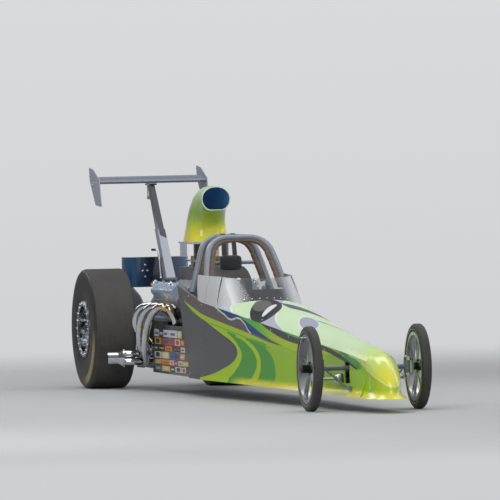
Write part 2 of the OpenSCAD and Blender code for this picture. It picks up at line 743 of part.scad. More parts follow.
module side_panel() {
    xs = concat([for (x = [cockpit_x : 430 : wheelbase - 160]) x], front_stations, [joint_x]);
    // Section at x: [flare of the lip, height over the floor, share of the height from there to the shoulder]
    cuts = [[1, 0, 0], [0.8, 9, 0], [0.28, 26, 0], [0, 52, 0], [0.04, 52, 0.55], [0, 0, 1]];
    function height(c, x) = mix(floor_z(x) + c[1], shoulder(x), c[2]);
    function at(c, x, t) = [x, half_w(x) - t + c[0] * lip(x), height(c, x)];
    function side(x, t) = [for (c = cuts) at(c, x, t)];
    function tail(t) = [for (c = cuts) at(c, tail_edge((height(c, tail_x) - floor_h) / (shoulder(tail_x) - floor_h)), t)];
    difference() {
        panel(concat([tail(0)], [for (x = xs) side(x, 0)]), concat([tail(panel_t)], [for (x = xs) side(x, panel_t)]));
        translate([wheelbase - axle_slot[0], 40, 180])
            cube([axle_slot[0] + axle_slot[1], 160, front_axle_z + 38 - 180]);
        translate([wheelbase - arm_l, 40, front_axle_z - 73])
            rotate([-90, 0, 0]) cylinder(h = 160, d = 74, $fn = 40);
    }
}

module side_panel_left() {
    color("DimGray") side_panel();
}

module side_panel_right() {
    color("DimGray") mirror([0, 1, 0]) side_panel();
}

bay_panel_t = 5;
bay_panel_h = 470;
bay_panel_lap = 30;

// Engine panels tuck behind the side panels' slanted edges
module engine_panels() {
    z = floor_z(bay_x);
    top_share = (bay_panel_h - floor_h) / (tail_shoulder_h - floor_h);
    color("Black") both()
        side_plate([[bay_x, z], [tail_edge(0) + bay_panel_lap, z - 8], [tail_edge(top_share) + bay_panel_lap, bay_panel_h],
            [bay_x + 60, bay_panel_h], [bay_x + 10, bay_panel_h - 40]], bay_half_w, bay_half_w + bay_panel_t);
}

screen_l = 280;
screen_half_w = half_w(cowl_x) - 8;
screen_gap = 1.2;

module hood() {
    xs = concat([for (x = [cowl_x + 40 : 320 : wheelbase - 160]) x], front_stations, [joint_x - seat_gap]);
    ys = [for (k = [-8 : 8]) sin(k * 90 / 8)];
    a = screen_l + screen_gap;
    b = screen_half_w + screen_gap;
    function top(x, k) = hood_z(x, half_w(x) * k);
    color("YellowGreen") difference() {
        panel([for (x = xs) [for (k = ys) [x, half_w(x) * k, top(x, k)]]],
            [for (x = xs) [for (k = ys) [x, (half_w(x) - 0.2) * k, max(hood_foot(x), top(x, k) - panel_t)]]]);
        translate([cowl_x + 4, 0, 300])
            linear_extrude(600)
                polygon([for (k = [0 : 47]) [a * cos(k * 7.5), b * sin(k * 7.5)]]);
    }
}

// Nose cone: rings of half ellipses from the bottom lip up to the rim, then a dome to the joint's crown
module nose_cone() {
    x0 = joint_x + seat_gap;
    w = half_w(joint_x);
    l = nose_x - x0;
    f = floor_z(joint_x);
    side_z = hood_foot(joint_x) + hood_edge;
    dome = rise(joint_x);
    rim_front = f + 74;
    turns = [for (k = [-10 : 10]) k * 9];
    function rim_z(a) = mix(side_z, rim_front, cos(a));
    function ring(grow, h) = [for (a = turns) [x0 + (l + grow) * cos(a), (w + grow) * sin(a), f + h]];
    function belt(e, grow) = [for (a = turns)
        [x0 + (l + grow) * cos(a), (w + grow) * sin(a), mix(f + 52, rim_z(a), e)]];
    function cap(q) = [for (a = turns) [x0 + l * q * cos(a), w * q * sin(a),
        mix(rim_z(a), side_z + dome, 1 - pow(q, mix(2.5, 2.1, cos(a))))]];
    rings = concat([ring(lip_flare, 0), ring(lip_flare * 0.8, 9), ring(lip_flare * 0.28, 26), ring(0, 52),
        belt(0.6, 1.5), belt(1, 0)], [for (q = [0.9, 0.75, 0.55, 0.3]) cap(q)]);
    n = len(turns);
    m = len(rings);
    apex = n * m;
    faces = concat(
        [for (j = [0 : m - 2]) for (k = [0 : n - 2])
            let (a = j * n + k) each [[a, a + n, a + n + 1], [a, a + n + 1, a + 1]]],
        [for (k = [0 : n - 2]) [(m - 1) * n + k, apex, (m - 1) * n + k + 1]],
        [[for (k = [0 : n - 1]) k]],
        [concat([for (j = [0 : m - 1]) (m - 1 - j) * n], [for (j = [0 : m - 1]) j * n + n - 1], [apex])]);
    color("Yellow") polyhedron(concat([for (r = rings) each r], [[x0, 0, side_z + dome]]), faces);
}

module belly_pan() {
    g = panel_t + seat_gap + 0.2;
    front = joint_x - seat_gap;
    bay_end = tail_edge(0) + bay_panel_lap + seat_gap;
    half = [[bay_x, bay_half_w - seat_gap], [bay_end, bay_half_w - seat_gap],
        [bay_end + 1, half_w(bay_end) - g], [cockpit_x, half_w(cockpit_x) - g],
        [wheelbase, half_w(wheelbase) - g], [front, half_w(front) - g]];
    color("Gainsboro") translate([bay_x, 0, floor_h])
        rotate([0, atan(floor_slope), 0])
            translate([-bay_x, 0, 0])
                linear_extrude(pan_t)
                    polygon(concat(half, [for (i = [len(half) - 1 : -1 : 0]) [half[i][0], -half[i][1]]]));
}

// Cowl sides and windscreen stand on the side panels, outside the cage's front arch
// Middle of the front arch's leg at height z
function arch_at(z) = let (p = on_rail(top_rail, arch_foot_x), h = [arch_x, arch_half_w, cage_h])
    z < knee_z ? mix(p, arch_knee, (z - p[2]) / (knee_z - p[2])) : mix(arch_knee, h, (z - knee_z) / (cage_h - knee_z));
cowl_back_w = arch_at(cowl_h)[1] + cage_d / 2 + panel_t + 5;
cowl_front_w = 250;
screen_top_w = 236;
screen_h = 828;
cowl_back = [cowl_x - 465, cowl_x - 570];
cowl_front = [cowl_x, cowl_x - 60];

module cowl_sides() {
    function side(t, o) = let (xb = mix(cowl_back[0], cowl_front[0], t), xt = mix(cowl_back[1], cowl_front[1], t),
            zb = shoulder(xb) + seat_gap, zt = mix(cowl_h, screen_h, t),
            yb = half_w(xb) - 1, yt = mix(cowl_back_w, cowl_front_w, pow(t, 1.5)))
        [for (k = [0 : 4]) let (e = k / 4)
            [mix(xb, xt, e), mix(yb, yt, e) + 16 * e * (1 - e) - o, mix(zb, zt, e)]];
    color("Gainsboro") both()
        panel([for (k = [0 : 6]) side(k / 6, 0)], [for (k = [0 : 6]) side(k / 6, panel_t)]);
}

module windscreen() {
    t = 4;
    a = screen_l;
    b = screen_half_w;
    function edge(f, e, o) = let (xb = cowl_x + 4 + (a - o) * cos(f), yb = (b - o) * sin(f),
            xt = cowl_front[1] + 4 + (95 - o) * cos(f), yt = (screen_top_w - o) * sin(f),
            zb = hood_z(xb, yb) - 5, zt = screen_h - 14 * cos(f), p = 20 * e * (1 - e))
        [mix(xb, xt, e) + p * cos(f), mix(yb, yt, e) + p * sin(f) * 0.6, mix(zb, zt, e)];
    angles = [for (k = [-8 : 8]) k * 11.2];
    color("Gray", 0.5)
        panel([for (f = angles) [for (k = [0 : 4]) edge(f, k / 4, 0)]],
            [for (f = angles) [for (k = [0 : 4]) edge(f, k / 4, t)]]);
}

// Cockpit

// Seat: side view of the bucket as shares of its length and height, and of the leg bolsters
seat_x = 2030;
seat_l = 490;
seat_half_w = 175;
seat_back_h = 655;
bolster_t = 12;
seat_profile = [[0, 0], [1, 0], [1.08, 0.107], [0.92, 0.1], [0.286, 0.061], [0.092, 0.65], [0.02, 1], [-0.05, 1],
    [0.01, 0.62]];
bolster_profile = [[0.184, 0.305], [0.612, 0.183], [0.551, 0.382], [0.184, 0.65], [0.114, 0.71]];

module seat() {
    z = floor_z(seat_x) + pan_t + 0.5;
    function side_view(shares) = [for (s = shares) [seat_x + s[0] * seat_l, z + s[1] * seat_back_h]];
    color("DimGray") {
        side_plate(side_view(seat_profile), -seat_half_w, seat_half_w);
        both() side_plate(side_view(bolster_profile), seat_half_w + seat_gap, seat_half_w + seat_gap + bolster_t);
    }
}

module head_pad() {
    color("DimGray") translate([pad_bar_at[0] + pad_bar_d / 2 + seat_gap, -85, pad_bar_at[2] - 60]) cube([34, 170, 120]);
}

dash_x = 2905;
column_dir = unit([-0.93, 0, 0.36]);
column_hub = [2720, 0, 690];
column_end = column_hub - column_dir * 520;

module dash() {
    y = rail_y(dash_x) - rail_d / 2 - seat_gap - 1;
    z = top_rail_z(dash_x);
    hole = column_hub - column_dir * (dash_x + 6 - column_hub[0]) / -column_dir[0];
    color("DimGray") difference() {
        cross_block([[-y, z - 14], [y, z - 14], [y, z + 14], [200, 735], [-200, 735], [-y, z + 14]], dash_x, dash_x + 12);
        rod(hole - column_dir * 60, hole + column_dir * 60, 26 + 2 * run_gap);
    }
}

module steering_wheel() {
    color("DimGray") {
        rod(column_end, column_hub, 26);
        translate(column_hub)
            rotate([0, atan2(column_dir[0], column_dir[2]), 0]) {
                translate([0, 0, -4]) cylinder(h = 18, d = 74, $fn = 40);
                translate([-14, -128, 0]) cube([28, 256, 10]);
                for (s = [-1, 1])
                    translate([-75, s * 128, 5]) rotate([0, 90, 0]) cylinder(h = 150, d = 24, $fn = 24);
            }
    }
}

// Front axle, steering and wheels

kingpin_y = front_y - kingpin_offset;
boss_d = 44;
boss_h = 80;
ear_t = 16;
ear_gap = 1;
rod_z = front_axle_z - 73;

stay_l = 130;
stay_d = 14;
// End of a stay on the side panel, l ahead of the axle: [y, z]
function stay_end(l) = let (x = wheelbase + l) [half_w(x) + lip(x) * 0.15 + 6, floor_z(x) + 42];

module front_axle() {
    y = kingpin_y;
    z = front_axle_z;
    color("SlateGray") translate([wheelbase, 0, 0]) difference() {
        union() {
            rod([0, -y, z], [0, y, z], front_axle_d);
            both() {
                translate([0, y, z - boss_h / 2]) cylinder(h = boss_h, d = boss_d, $fn = 48);
                rod([0, y - 26, z - 6], [stay_l, stay_end(stay_l)[0], stay_end(stay_l)[1]], stay_d);
                translate([stay_l - 18, stay_end(stay_l)[0] - 5, stay_end(stay_l)[1] - 4]) cube([36, 12, 30]);
                side_plate([[-24, floor_z(wheelbase) + pan_t + 1], [24, floor_z(wheelbase) + pan_t + 1],
                    [24, 300], [-24, 300]], 40, 48);
            }
        }
        both() translate([0, y, z - boss_h]) cylinder(h = 2 * boss_h, d = kingpin_d + 2 * run_gap, $fn = 48);
    }
}

module rack_housing() {
    x = wheelbase - arm_l;
    l = half_w(x) + 26;
    bore = tie_rod_d / 2 + free_gap;
    color("Gainsboro") difference() {
        union() {
            translate([x, 0, rod_z])
                wheel_ring([[bore, -l], [33, -l], [33, -l + 14], [26, -l + 26], [26, l - 26], [33, l - 14],
                    [33, l], [bore, l]], 48);
            for (s = [-1, 1])
                translate([x - 22, s * 34 - 8, floor_z(x) + pan_t + 1])
                    cube([44, 16, rod_z - floor_z(x) - pan_t]);
        }
        translate([x, 0, rod_z]) rotate([90, 0, 0]) cylinder(h = 2 * l + 40, r = bore, center = true, $fn = 48);
    }
}

ear_z = boss_h / 2 + ear_gap;
web_in = boss_d / 2 + 5;
web_t = 12;
hub_in = kingpin_y + web_in + web_t + free_gap;
hub_out = front_y + 52;

// Spindle on its kingpin: two ears, a web, the stub axle and the steering arm
module spindle() {
    color("Silver") translate([wheelbase, kingpin_y, front_axle_z]) {
        cylinder(h = 2 * (ear_z + ear_t), d = kingpin_d, center = true, $fn = 48);
        for (z = [ear_z, -ear_z - ear_t]) {
            translate([0, 0, z]) cylinder(h = ear_t, d = boss_d, $fn = 48);
            translate([-18, 0, z]) cube([36, web_in + web_t, ear_t]);
        }
        translate([-18, web_in, -ear_z - ear_t]) cube([36, web_t, 2 * (ear_z + ear_t)]);
        translate([0, web_in + 2, 0]) rotate([-90, 0, 0])
            cylinder(h = hub_out - 8 - kingpin_y - web_in - 2, d = stub_d, $fn = 48);
        translate([-arm_l, -11, -ear_z - ear_t]) cube([arm_l, 22, ear_t]);
        translate([-arm_l, 0, -ear_z - ear_t]) cylinder(h = ear_t, d = 28, $fn = 40);
        translate([-arm_l, 0, rod_z - front_axle_z - 10])
            cylinder(h = front_axle_z - rod_z + 10 - ear_z - 2, d = 12, $fn = 40);
    }
}

module spindle_left() {
    spindle();
}

module spindle_right() {
    mirror([0, 1, 0]) spindle();
}

module tie_rod() {
    x = wheelbase - arm_l;
    color("Gainsboro") difference() {
        union() {
            rod([x, -kingpin_y, rod_z], [x, kingpin_y, rod_z], tie_rod_d);
            both() translate([x, kingpin_y, rod_z - 8]) cylinder(h = 16, d = 30, $fn = 40);
        }
        both() translate([x, kingpin_y, rod_z - 20]) cylinder(h = 40, d = 12 + 2 * run_gap, $fn = 40);
    }
}

front_seat_r = front_rim_d / 2 - 15;
front_bead_w = front_tyre_w / 2 - 8;

module front_rim() {
    r = front_seat_r;
    w = front_bead_w + seat_gap;
    b = stub_d / 2 + run_gap;
    color("Silver") translate([wheelbase, front_y, front_axle_z]) {
        wheel_ring([[r - 8, -w - 4], [r + 15, -w - 4], [r + 15, -w], [r, -w], [r, w], [r + 15, w],
            [r + 15, w + 4], [r - 8, w + 4]], 96);
        wheel_ring([[b, hub_in - front_y], [24, hub_in - front_y], [24, -9], [42, -9], [42, 9], [26.5, 9],
            [26.5, hub_out - front_y], [b, hub_out - front_y]], 48);
        translate([0, 7, 0]) rotate([90, 0, 0])
            linear_extrude(14) for (k = [0 : spoke_count - 1])
                rotate(90 + 360 * k / spoke_count) difference() {
                    polygon([[38, -15], [r - 6, -30], [r - 6, 30], [38, 15]]);
                    polygon([[78, -2], [r - 22, -17], [r - 22, 17], [78, 2]]);
                }
    }
}

module front_rim_left() {
    front_rim();
}

module front_rim_right() {
    mirror([0, 1, 0]) front_rim();
}

module front_tyre() {
    s = front_seat_r + seat_gap;
    w = front_bead_w;
    h = front_tyre_w / 2;
    t = front_tyre_d / 2;
    half = [[s, w], [s + 16, w], [s + 22, h - 3], [s + 34, h], [t - 24, h - 1], [t - 10, h - 5],
        [t - 3, h - 11], [t, h - 18]];
    color("DimGray") translate([wheelbase, front_y, front_axle_z])
        wheel_ring(concat(half, [for (i = [len(half) - 1 : -1 : 0]) [half[i][0], -half[i][1]]]), 96);
}

module front_tyre_left() {
    front_tyre();
}

module front_tyre_right() {
    mirror([0, 1, 0]) front_tyre();
}

placed() frame_rails();
placed() frame_braces();
placed() roll_cage();
placed() rear_plates();
placed() motor_plate();
placed() engine_block();
placed() cylinder_heads();
placed() valve_covers();
placed() intake_manifold();
placed() carburettors();
placed() air_scoop();
placed() header_right();
placed() header_left();
placed() collectors();
placed() transmission();
placed() axle_housing();
placed() brake_calipers();
placed() rear_box();
placed() wing_stand();
placed() wing_strut();
placed() wing_plane();
placed() wing_end_plates();
placed() wing_adjuster();
placed() chute_mount();
placed() side_panel_right();
placed() side_panel_left();
placed() engine_panels();
placed() hood();
placed() nose_cone();
placed() belly_pan();
placed() cowl_sides();
placed() windscreen();
placed() seat();
placed() head_pad();
placed() dash();
placed() front_axle();
placed() rack_housing();
placed() steering_wheel();
placed() spindle_right();
placed() spindle_left();
placed() tie_rod();
placed() front_rim_right();
placed() front_rim_left();
placed() front_tyre_right();
placed() front_tyre_left();
placed() axle_shaft();
placed() rear_rims();
placed() rear_tyres();
placed() brake_discs();
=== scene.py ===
import math
import random
import bmesh
import bpy
from mathutils import Matrix, Vector
from mathutils.bvhtree import BVHTree


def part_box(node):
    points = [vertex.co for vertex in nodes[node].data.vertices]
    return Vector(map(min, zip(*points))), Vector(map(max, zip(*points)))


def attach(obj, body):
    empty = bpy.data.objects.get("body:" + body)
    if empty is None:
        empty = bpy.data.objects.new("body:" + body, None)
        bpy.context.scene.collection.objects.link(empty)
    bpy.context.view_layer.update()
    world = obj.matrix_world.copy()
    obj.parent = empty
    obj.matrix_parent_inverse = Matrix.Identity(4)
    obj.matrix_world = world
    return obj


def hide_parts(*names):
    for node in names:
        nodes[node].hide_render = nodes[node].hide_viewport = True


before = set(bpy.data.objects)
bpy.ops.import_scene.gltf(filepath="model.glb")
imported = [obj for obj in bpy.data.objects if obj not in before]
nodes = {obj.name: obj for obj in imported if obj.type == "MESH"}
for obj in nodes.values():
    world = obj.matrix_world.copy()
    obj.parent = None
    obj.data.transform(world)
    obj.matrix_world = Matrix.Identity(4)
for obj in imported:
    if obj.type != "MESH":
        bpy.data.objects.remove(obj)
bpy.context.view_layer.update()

# The view: a long lens far ahead of the car and to its right, a little over the height of the cage.
# The picture is 500 pixels square, and the lens was worked out from the four wheels.
rear_axle_x = -3.184
picture_px = 500
lens_px = 12338.3
view_azimuth = math.radians(77.213)
view_elevation = math.radians(1.399)
view_roll = math.radians(1.131)
view_distance = 84.055
target = Vector((rear_axle_x + 3.0, 0, 0.6))
target_px = (258.4, 309.6)
sensor_mm, clip_far = 36, 400

back = Vector((math.sin(view_azimuth) * math.cos(view_elevation),
               -math.cos(view_azimuth) * math.cos(view_elevation), math.sin(view_elevation)))
level = Vector((math.cos(view_azimuth), math.sin(view_azimuth), 0))
upward = back.cross(level)
right = level * math.cos(view_roll) - upward * math.sin(view_roll)
upward = level * math.sin(view_roll) + upward * math.cos(view_roll)
camera_at = target + back * view_distance
px = view_distance / lens_px
aim = target - right * (target_px[0] - picture_px / 2) * px + upward * (target_px[1] - picture_px / 2) * px
back = (camera_at - aim).normalized()
right = (right - back * right.dot(back)).normalized()
upward = back.cross(right)
camera_data = bpy.data.cameras.new("camera")
camera_data.sensor_width = sensor_mm
camera_data.lens = lens_px / picture_px * sensor_mm
camera_data.clip_end = clip_far
camera = bpy.data.objects.new("camera", camera_data)
bpy.context.collection.objects.link(camera)
camera.matrix_world = Matrix(((right.x, upward.x, back.x, camera_at.x), (right.y, upward.y, back.y, camera_at.y),
                              (right.z, upward.z, back.z, camera_at.z), (0, 0, 0, 1)))
bpy.context.scene.camera = camera

# The stage: a plain pale floor that fades into the pale surroundings, and four soft lamps.
# The surroundings have a bright horizon, a darker belt above it and a bright top, so that metal has a gradient.
floor_colour, floor_rough, floor_half = (0.46, 0.47, 0.48), 0.85, 70
fade_from, fade_to = 3.5, 13
sky_tint = (0.985, 1.0, 1.02)
# Surroundings: height of the direction, -1 to 1, and brightness
belts = [(-1.0, 0.25), (-0.10, 0.50), (0.0, 0.70), (0.06, 0.66), (0.22, 0.30), (0.55, 0.50), (1.0, 0.75)]
# Dark screen on the car's right: how much it dims, and the sideways directions between which it ends
screen_dim, screen_from, screen_to = 0.72, 0.02, -0.16
# Lamps, all turned to one place: name, place, size along and across, watts
lamp_aim = Vector((0, 0, 0.4))
lamps = [("lamp_front", (7.5, -4.5, 5.0), 7, 4, 350), ("lamp_over", (-0.5, -0.8, 6.5), 9, 2.5, 230),
         ("lamp_left", (0.5, 7.0, 4.5), 8, 3, 110), ("lamp_rear", (-8.0, -3.5, 5.0), 4, 3, 110)]


def feed(item, inputs):
    """Set a node's inputs to values, or link them to sockets; a colour of three numbers is made opaque."""
    for key, value in inputs.items():
        socket = item.inputs[key]
        if isinstance(value, bpy.types.NodeSocket):
            item.id_data.links.new(value, socket)
        else:
            socket.default_value = (*value, 1) if socket.type == "RGBA" else value


def add(tree, kind, inputs=(), **settings):
    """New node of a tree, with its settings made and its inputs set or linked."""
    item = tree.nodes.new(kind)
    for key, value in settings.items():
        setattr(item, key, value)
    feed(item, dict(inputs))
    return item


def ramp_of(value, start, end, low=0.0, high=1.0, kind="SMOOTHSTEP"):
    """Smooth change from low where the value is start to high where it is end."""
    return add(value.id_data, "ShaderNodeMapRange", {"Value": value, "From Min": start, "From Max": end,
                                                     "To Min": low, "To Max": high},
               interpolation_type=kind).outputs[0]


def graded(value, low, high, start=0.0, end=1.0):
    """Even change from low where the value is start to high where it is end."""
    return ramp_of(value, start, end, low, high, "LINEAR")


def parts_of(tree, coordinate):
    """X, Y and Z sockets of a texture coordinate."""
    return add(tree, "ShaderNodeSeparateXYZ", {0: add(tree, "ShaderNodeTexCoord").outputs[coordinate]}).outputs


def new_material(name):
    """Empty node material: itself, its tree and its shader."""
    material = bpy.data.materials.new(name)
    material.use_nodes = True
    tree = material.node_tree
    tree.nodes.clear()
    shader = add(tree, "ShaderNodeBsdfPrincipled")
    add(tree, "ShaderNodeOutputMaterial", {"Surface": shader.outputs[0]})
    return material, tree, shader


def mesh_object(name, verts, faces, material=None, smooth=False):
    """Mesh object in the row frame."""
    mesh = bpy.data.meshes.new(name)
    mesh.from_pydata(verts, [], faces)
    mesh.validate()
    mesh.update()
    if smooth:
        mesh.shade_smooth()
    obj = bpy.data.objects.new(name, mesh)
    bpy.context.collection.objects.link(obj)
    if material:
        mesh.materials.append(material)
    return obj


floor_paint, tree, shader = new_material("floor_paint")
feed(shader, {"Base Color": floor_colour, "Roughness": floor_rough})
reach = add(tree, "ShaderNodeVectorMath", {0: add(tree, "ShaderNodeTexCoord").outputs["Object"]}, operation="LENGTH")
faded = add(tree, "ShaderNodeMixShader", {0: ramp_of(reach.outputs["Value"], fade_from, fade_to),
                                          1: shader.outputs[0],
                                          2: add(tree, "ShaderNodeBsdfTransparent").outputs[0]})
feed(tree.nodes["Material Output"], {"Surface": faded.outputs[0]})
corners = [(-floor_half, -floor_half, 0), (floor_half, -floor_half, 0), (floor_half, floor_half, 0),
           (-floor_half, floor_half, 0)]
floor = mesh_object("floor", corners, [(0, 1, 2, 3)], floor_paint)

world = bpy.data.worlds.new("surroundings")
bpy.context.scene.world = world
world.use_nodes = True
tree = world.node_tree
tree.nodes.clear()
way = parts_of(tree, "Generated")
sky = add(tree, "ShaderNodeValToRGB", {0: graded(way["Z"], 0.0, 1.0, -1.0)})
for height, _ in belts[1:-1]:
    sky.color_ramp.elements.new((height + 1) / 2)
for element, (height, brightness) in zip(sky.color_ramp.elements, belts):
    element.position = (height + 1) / 2
    element.color = (*(brightness * part for part in sky_tint), 1)
dim = ramp_of(way["Y"], screen_from, screen_to, 1.0, 1 - screen_dim)
glow = add(tree, "ShaderNodeBackground", {"Color": sky.outputs["Color"], "Strength": dim})
add(tree, "ShaderNodeOutputWorld", {"Surface": glow.outputs[0]})
for name, place, along, across, watts in lamps:
    data = bpy.data.lights.new(name, "AREA")
    data.shape = "RECTANGLE"
    data.size = along
    data.size_y = across
    data.energy = watts
    lamp = bpy.data.objects.new(name, data)
    bpy.context.collection.objects.link(lamp)
    lamp.location = place
    lamp.rotation_euler = (Vector(place) - lamp_aim).to_track_quat("Z", "X").to_euler()
bpy.context.scene.view_settings.view_transform = "Standard"

# Frame tubes, braces and rear plates: welded steel tube and plate in satin blue-grey paint.
# The rails run from the rear plates to the front axle; uprights and cross tubes are fitted between them.
frame_blue = (0.150, 0.178, 0.215)


def work(operation, a, b=0.0, clamp=False):
    """Result of a sum on a socket and another socket or number."""
    return add(a.id_data, "ShaderNodeMath", {0: a, 1: b}, operation=operation, use_clamp=clamp).outputs[0]


def times(a, b):
    return work("MULTIPLY", a, b)


def plus(a, b):
    return work("ADD", a, b)


def minus(a, b):
    return work("SUBTRACT", a, b)


def over(mask, under, top):
    """Colour under, covered by the colour top where the mask is 1."""
    return add(mask.id_data, "ShaderNodeMix", {0: mask, 6: under, 7: top}, data_type="RGBA").outputs[2]


def noise(tree, scale, detail=2.0, rough=0.5, place=None):
    """Noise from 0 to 1 at a place, or over the piece's own box where no place is given."""
    inputs = {"Scale": scale, "Detail": detail, "Roughness": rough}
    if place:
        inputs["Vector"] = place
    return add(tree, "ShaderNodeTexNoise", inputs).outputs[0]


def bump(height, strength, distance):
    """Normal of a surface with a fine relief."""
    return add(height.id_data, "ShaderNodeBump", {"Strength": strength, "Distance": distance,
                                                  "Height": height}).outputs[0]


def shader_group(name, inputs, outputs):
    """Node group: its tree, its input node's sockets and its output node."""
    tree = bpy.data.node_groups.new(name, "ShaderNodeTree")
    for label, value in inputs.items():
        tree.interface.new_socket(label, in_out="INPUT", socket_type="NodeSocketFloat").default_value = value
    for label, kind in outputs.items():
        tree.interface.new_socket(label, in_out="OUTPUT", socket_type=kind)
    return tree, add(tree, "NodeGroupInput").outputs, add(tree, "NodeGroupOutput")


# Road dust: gathers low on the car, in soft patches
dust_brown = (0.22, 0.20, 0.17)
road_dust, inner, outer = shader_group("road_dust", {"Top": 0.5, "Amount": 0.5}, {"Mask": "NodeSocketFloat"})
place = add(road_dust, "ShaderNodeTexCoord").outputs["Object"]
height = parts_of(road_dust, "Object")["Z"]
patchy = graded(noise(road_dust, 7.0, 8.0, 0.65, place), 0.0, 1.0, 0.35, 0.75)
mask = times(graded(height, 0.0, 1.0, inner["Top"], 0.0), patchy)
feed(outer, {"Mask": work("MULTIPLY", mask, inner["Amount"], clamp=True)})

# Paint skin: slow changes of tone, fine flake and the slight ripple of sprayed paint
skin_sockets = {"Tone": "NodeSocketFloat", "Roughness": "NodeSocketFloat", "Normal": "NodeSocketVector"}
paint_skin, inner, outer = shader_group("paint_skin", {"Gloss": 0.2, "Ripple": 0.05, "Flake": 0.1}, skin_sockets)
place = add(paint_skin, "ShaderNodeTexCoord").outputs["Object"]
flake = add(paint_skin, "ShaderNodeTexVoronoi", {"Vector": place, "Scale": 900.0}).outputs["Color"]
glint = minus(add(paint_skin, "ShaderNodeSeparateColor", {0: flake}).outputs[0], 0.5)
tone = plus(times(noise(paint_skin, 3.0, 3.0, place=place), 0.12), 0.94)
rough = plus(times(noise(paint_skin, 26.0, 5.0, 0.7, place), 0.5), 0.75)
feed(outer, {"Tone": plus(tone, times(glint, inner["Flake"])), "Roughness": times(rough, inner["Gloss"]),
             "Normal": bump(noise(paint_skin, 160.0, place=place), inner["Ripple"], 0.0006)})


def coated(name, colour, group, skin, dust, looks):
    """Material under a skin group and road dust; colour is fixed, or a function that draws a design in the tree."""
    material, tree, shader = new_material(name)
    design = colour(tree) if callable(colour) else colour
    skin = add(tree, "ShaderNodeGroup", skin, node_tree=group).outputs
    film = add(tree, "ShaderNodeGroup", {"Top": dust[0], "Amount": dust[1]}, node_tree=road_dust).outputs[0]
    tone = add(tree, "ShaderNodeCombineColor", {i: skin["Tone"] for i in range(3)}).outputs[0]
    shaded = add(tree, "ShaderNodeMix", {0: 1.0, 6: design, 7: tone}, data_type="RGBA", blend_type="MULTIPLY")
    feed(shader, {"Base Color": over(film, shaded.outputs[2], dust_brown), "Normal": skin["Normal"],
                  "Roughness": work("ADD", skin["Roughness"], times(film, 0.5), clamp=True)})
    feed(shader, looks)
    return material


def paint(name, colour, gloss=0.25, ripple=0.05, flake=0.06, coat=0.5, dust=(0.6, 0.35), shine=0.5):
    """Sprayed paint of a colour or design."""
    return coated(name, colour, paint_skin, {"Gloss": gloss, "Ripple": ripple, "Flake": flake}, dust,
                  {"Specular IOR Level": shine, "Coat Weight": coat, "Coat Roughness": 0.05})


# Skin of a sheet or bent tube: its points are welded and its facets shaded as one smooth surface
smooth_skin = bpy.data.node_groups.new("smooth_skin", "GeometryNodeTree")
for way_in in ("INPUT", "OUTPUT"):
    smooth_skin.interface.new_socket("Geometry", in_out=way_in, socket_type="NodeSocketGeometry")
crease = math.radians(34)
inner = smooth_skin.nodes.new("NodeGroupInput")
outer = smooth_skin.nodes.new("NodeGroupOutput")
weld = add(smooth_skin, "GeometryNodeMergeByDistance", {0: inner.outputs[0], "Distance": 0.00005})
plain = add(smooth_skin, "GeometryNodeRemoveAttribute", {0: weld.outputs[0], "Name": "custom_normal"})
round_faces = add(smooth_skin, "GeometryNodeSetShadeSmooth", {0: plain.outputs[0], "Shade Smooth": True},
                  domain="FACE")
bend = add(smooth_skin, "GeometryNodeInputMeshEdgeAngle").outputs[0]
sharp = add(smooth_skin, "FunctionNodeCompare", {0: bend, 1: crease}, operation="GREATER_THAN")
creased = add(smooth_skin, "GeometryNodeSetShadeSmooth",
              {0: round_faces.outputs[0], "Selection": sharp.outputs[0], "Shade Smooth": False}, domain="EDGE")
smooth_skin.links.new(creased.outputs[0], outer.inputs[0])


def dress(names, material, smooth=False):
    """Give CAD nodes their material, and a smooth skin where they are sheets or bent tubes."""
    for name in names:
        nodes[name].material_slots[0].material = material
        if smooth:
            nodes[name].modifiers.new("smooth_skin", "NODES").node_group = smooth_skin


frame_satin = paint("frame_satin", frame_blue, gloss=0.36, ripple=0.12, coat=0.15)
dress(["frame_rails", "frame_braces"], frame_satin, smooth=True)
dress(["rear_plates", "wing_stand", "chute_mount", "front_axle"], frame_satin)

# Roll cage: bent steel tube in a lighter coat of the same paint, welded to the rails.
# Brown foam is strapped along the inner sides of both hoops, thinner over the top; each strap pinches it a little.
cage_blue = (0.215, 0.245, 0.290)
foam_brown, foam_worn = (0.118, 0.070, 0.042), (0.165, 0.110, 0.075)
foam_r, foam_top_r, foam_bite = 0.0175, 0.0085, 0.001
strap_pitch, strap_w, strap_pinch = 0.085, 0.006, 0.16
# Hoops: place along the car at the foot of a leg, at its knee and at the top, and the height where the foam ends
hoops = {"rear_hoop_pad": (2.190, 2.165, 2.080, 0.775), "front_hoop_pad": (2.700, 2.560, 2.410, 0.745)}
foot_z, knee_z, hoop_top_z, hoop_middle_z = 0.645, 0.844, 1.084, 0.93
leg_steps, arch_steps, smoothings, end_share = 46, 180, 12, 0.75


def at(x, y, z):
    """Place in the row frame, with X measured from the rear axle."""
    return Vector((rear_axle_x + x, y, z))


surfaces = {}


def on_surface(name, start, way):
    """Place and normal where a line first meets a CAD node."""
    if name not in surfaces:
        mesh = nodes[name].data
        surfaces[name] = BVHTree.FromPolygons([v.co for v in mesh.vertices], [p.vertices for p in mesh.polygons])
    place, normal, _, _ = surfaces[name].ray_cast(start, Vector(way).normalized())
    return place, normal


def loft(rings, caps=True):
    """Points and faces of a skin over rings of points."""
    count, last = len(rings[0]), len(rings) - 1
    faces = [(i * count + k, i * count + (k + 1) % count, (i + 1) * count + (k + 1) % count, (i + 1) * count + k)
             for i in range(last) for k in range(count)]
    if caps:
        faces += [tuple(reversed(range(count))), tuple(range(last * count, last * count + count))]
    return [point for ring in rings for point in ring], faces


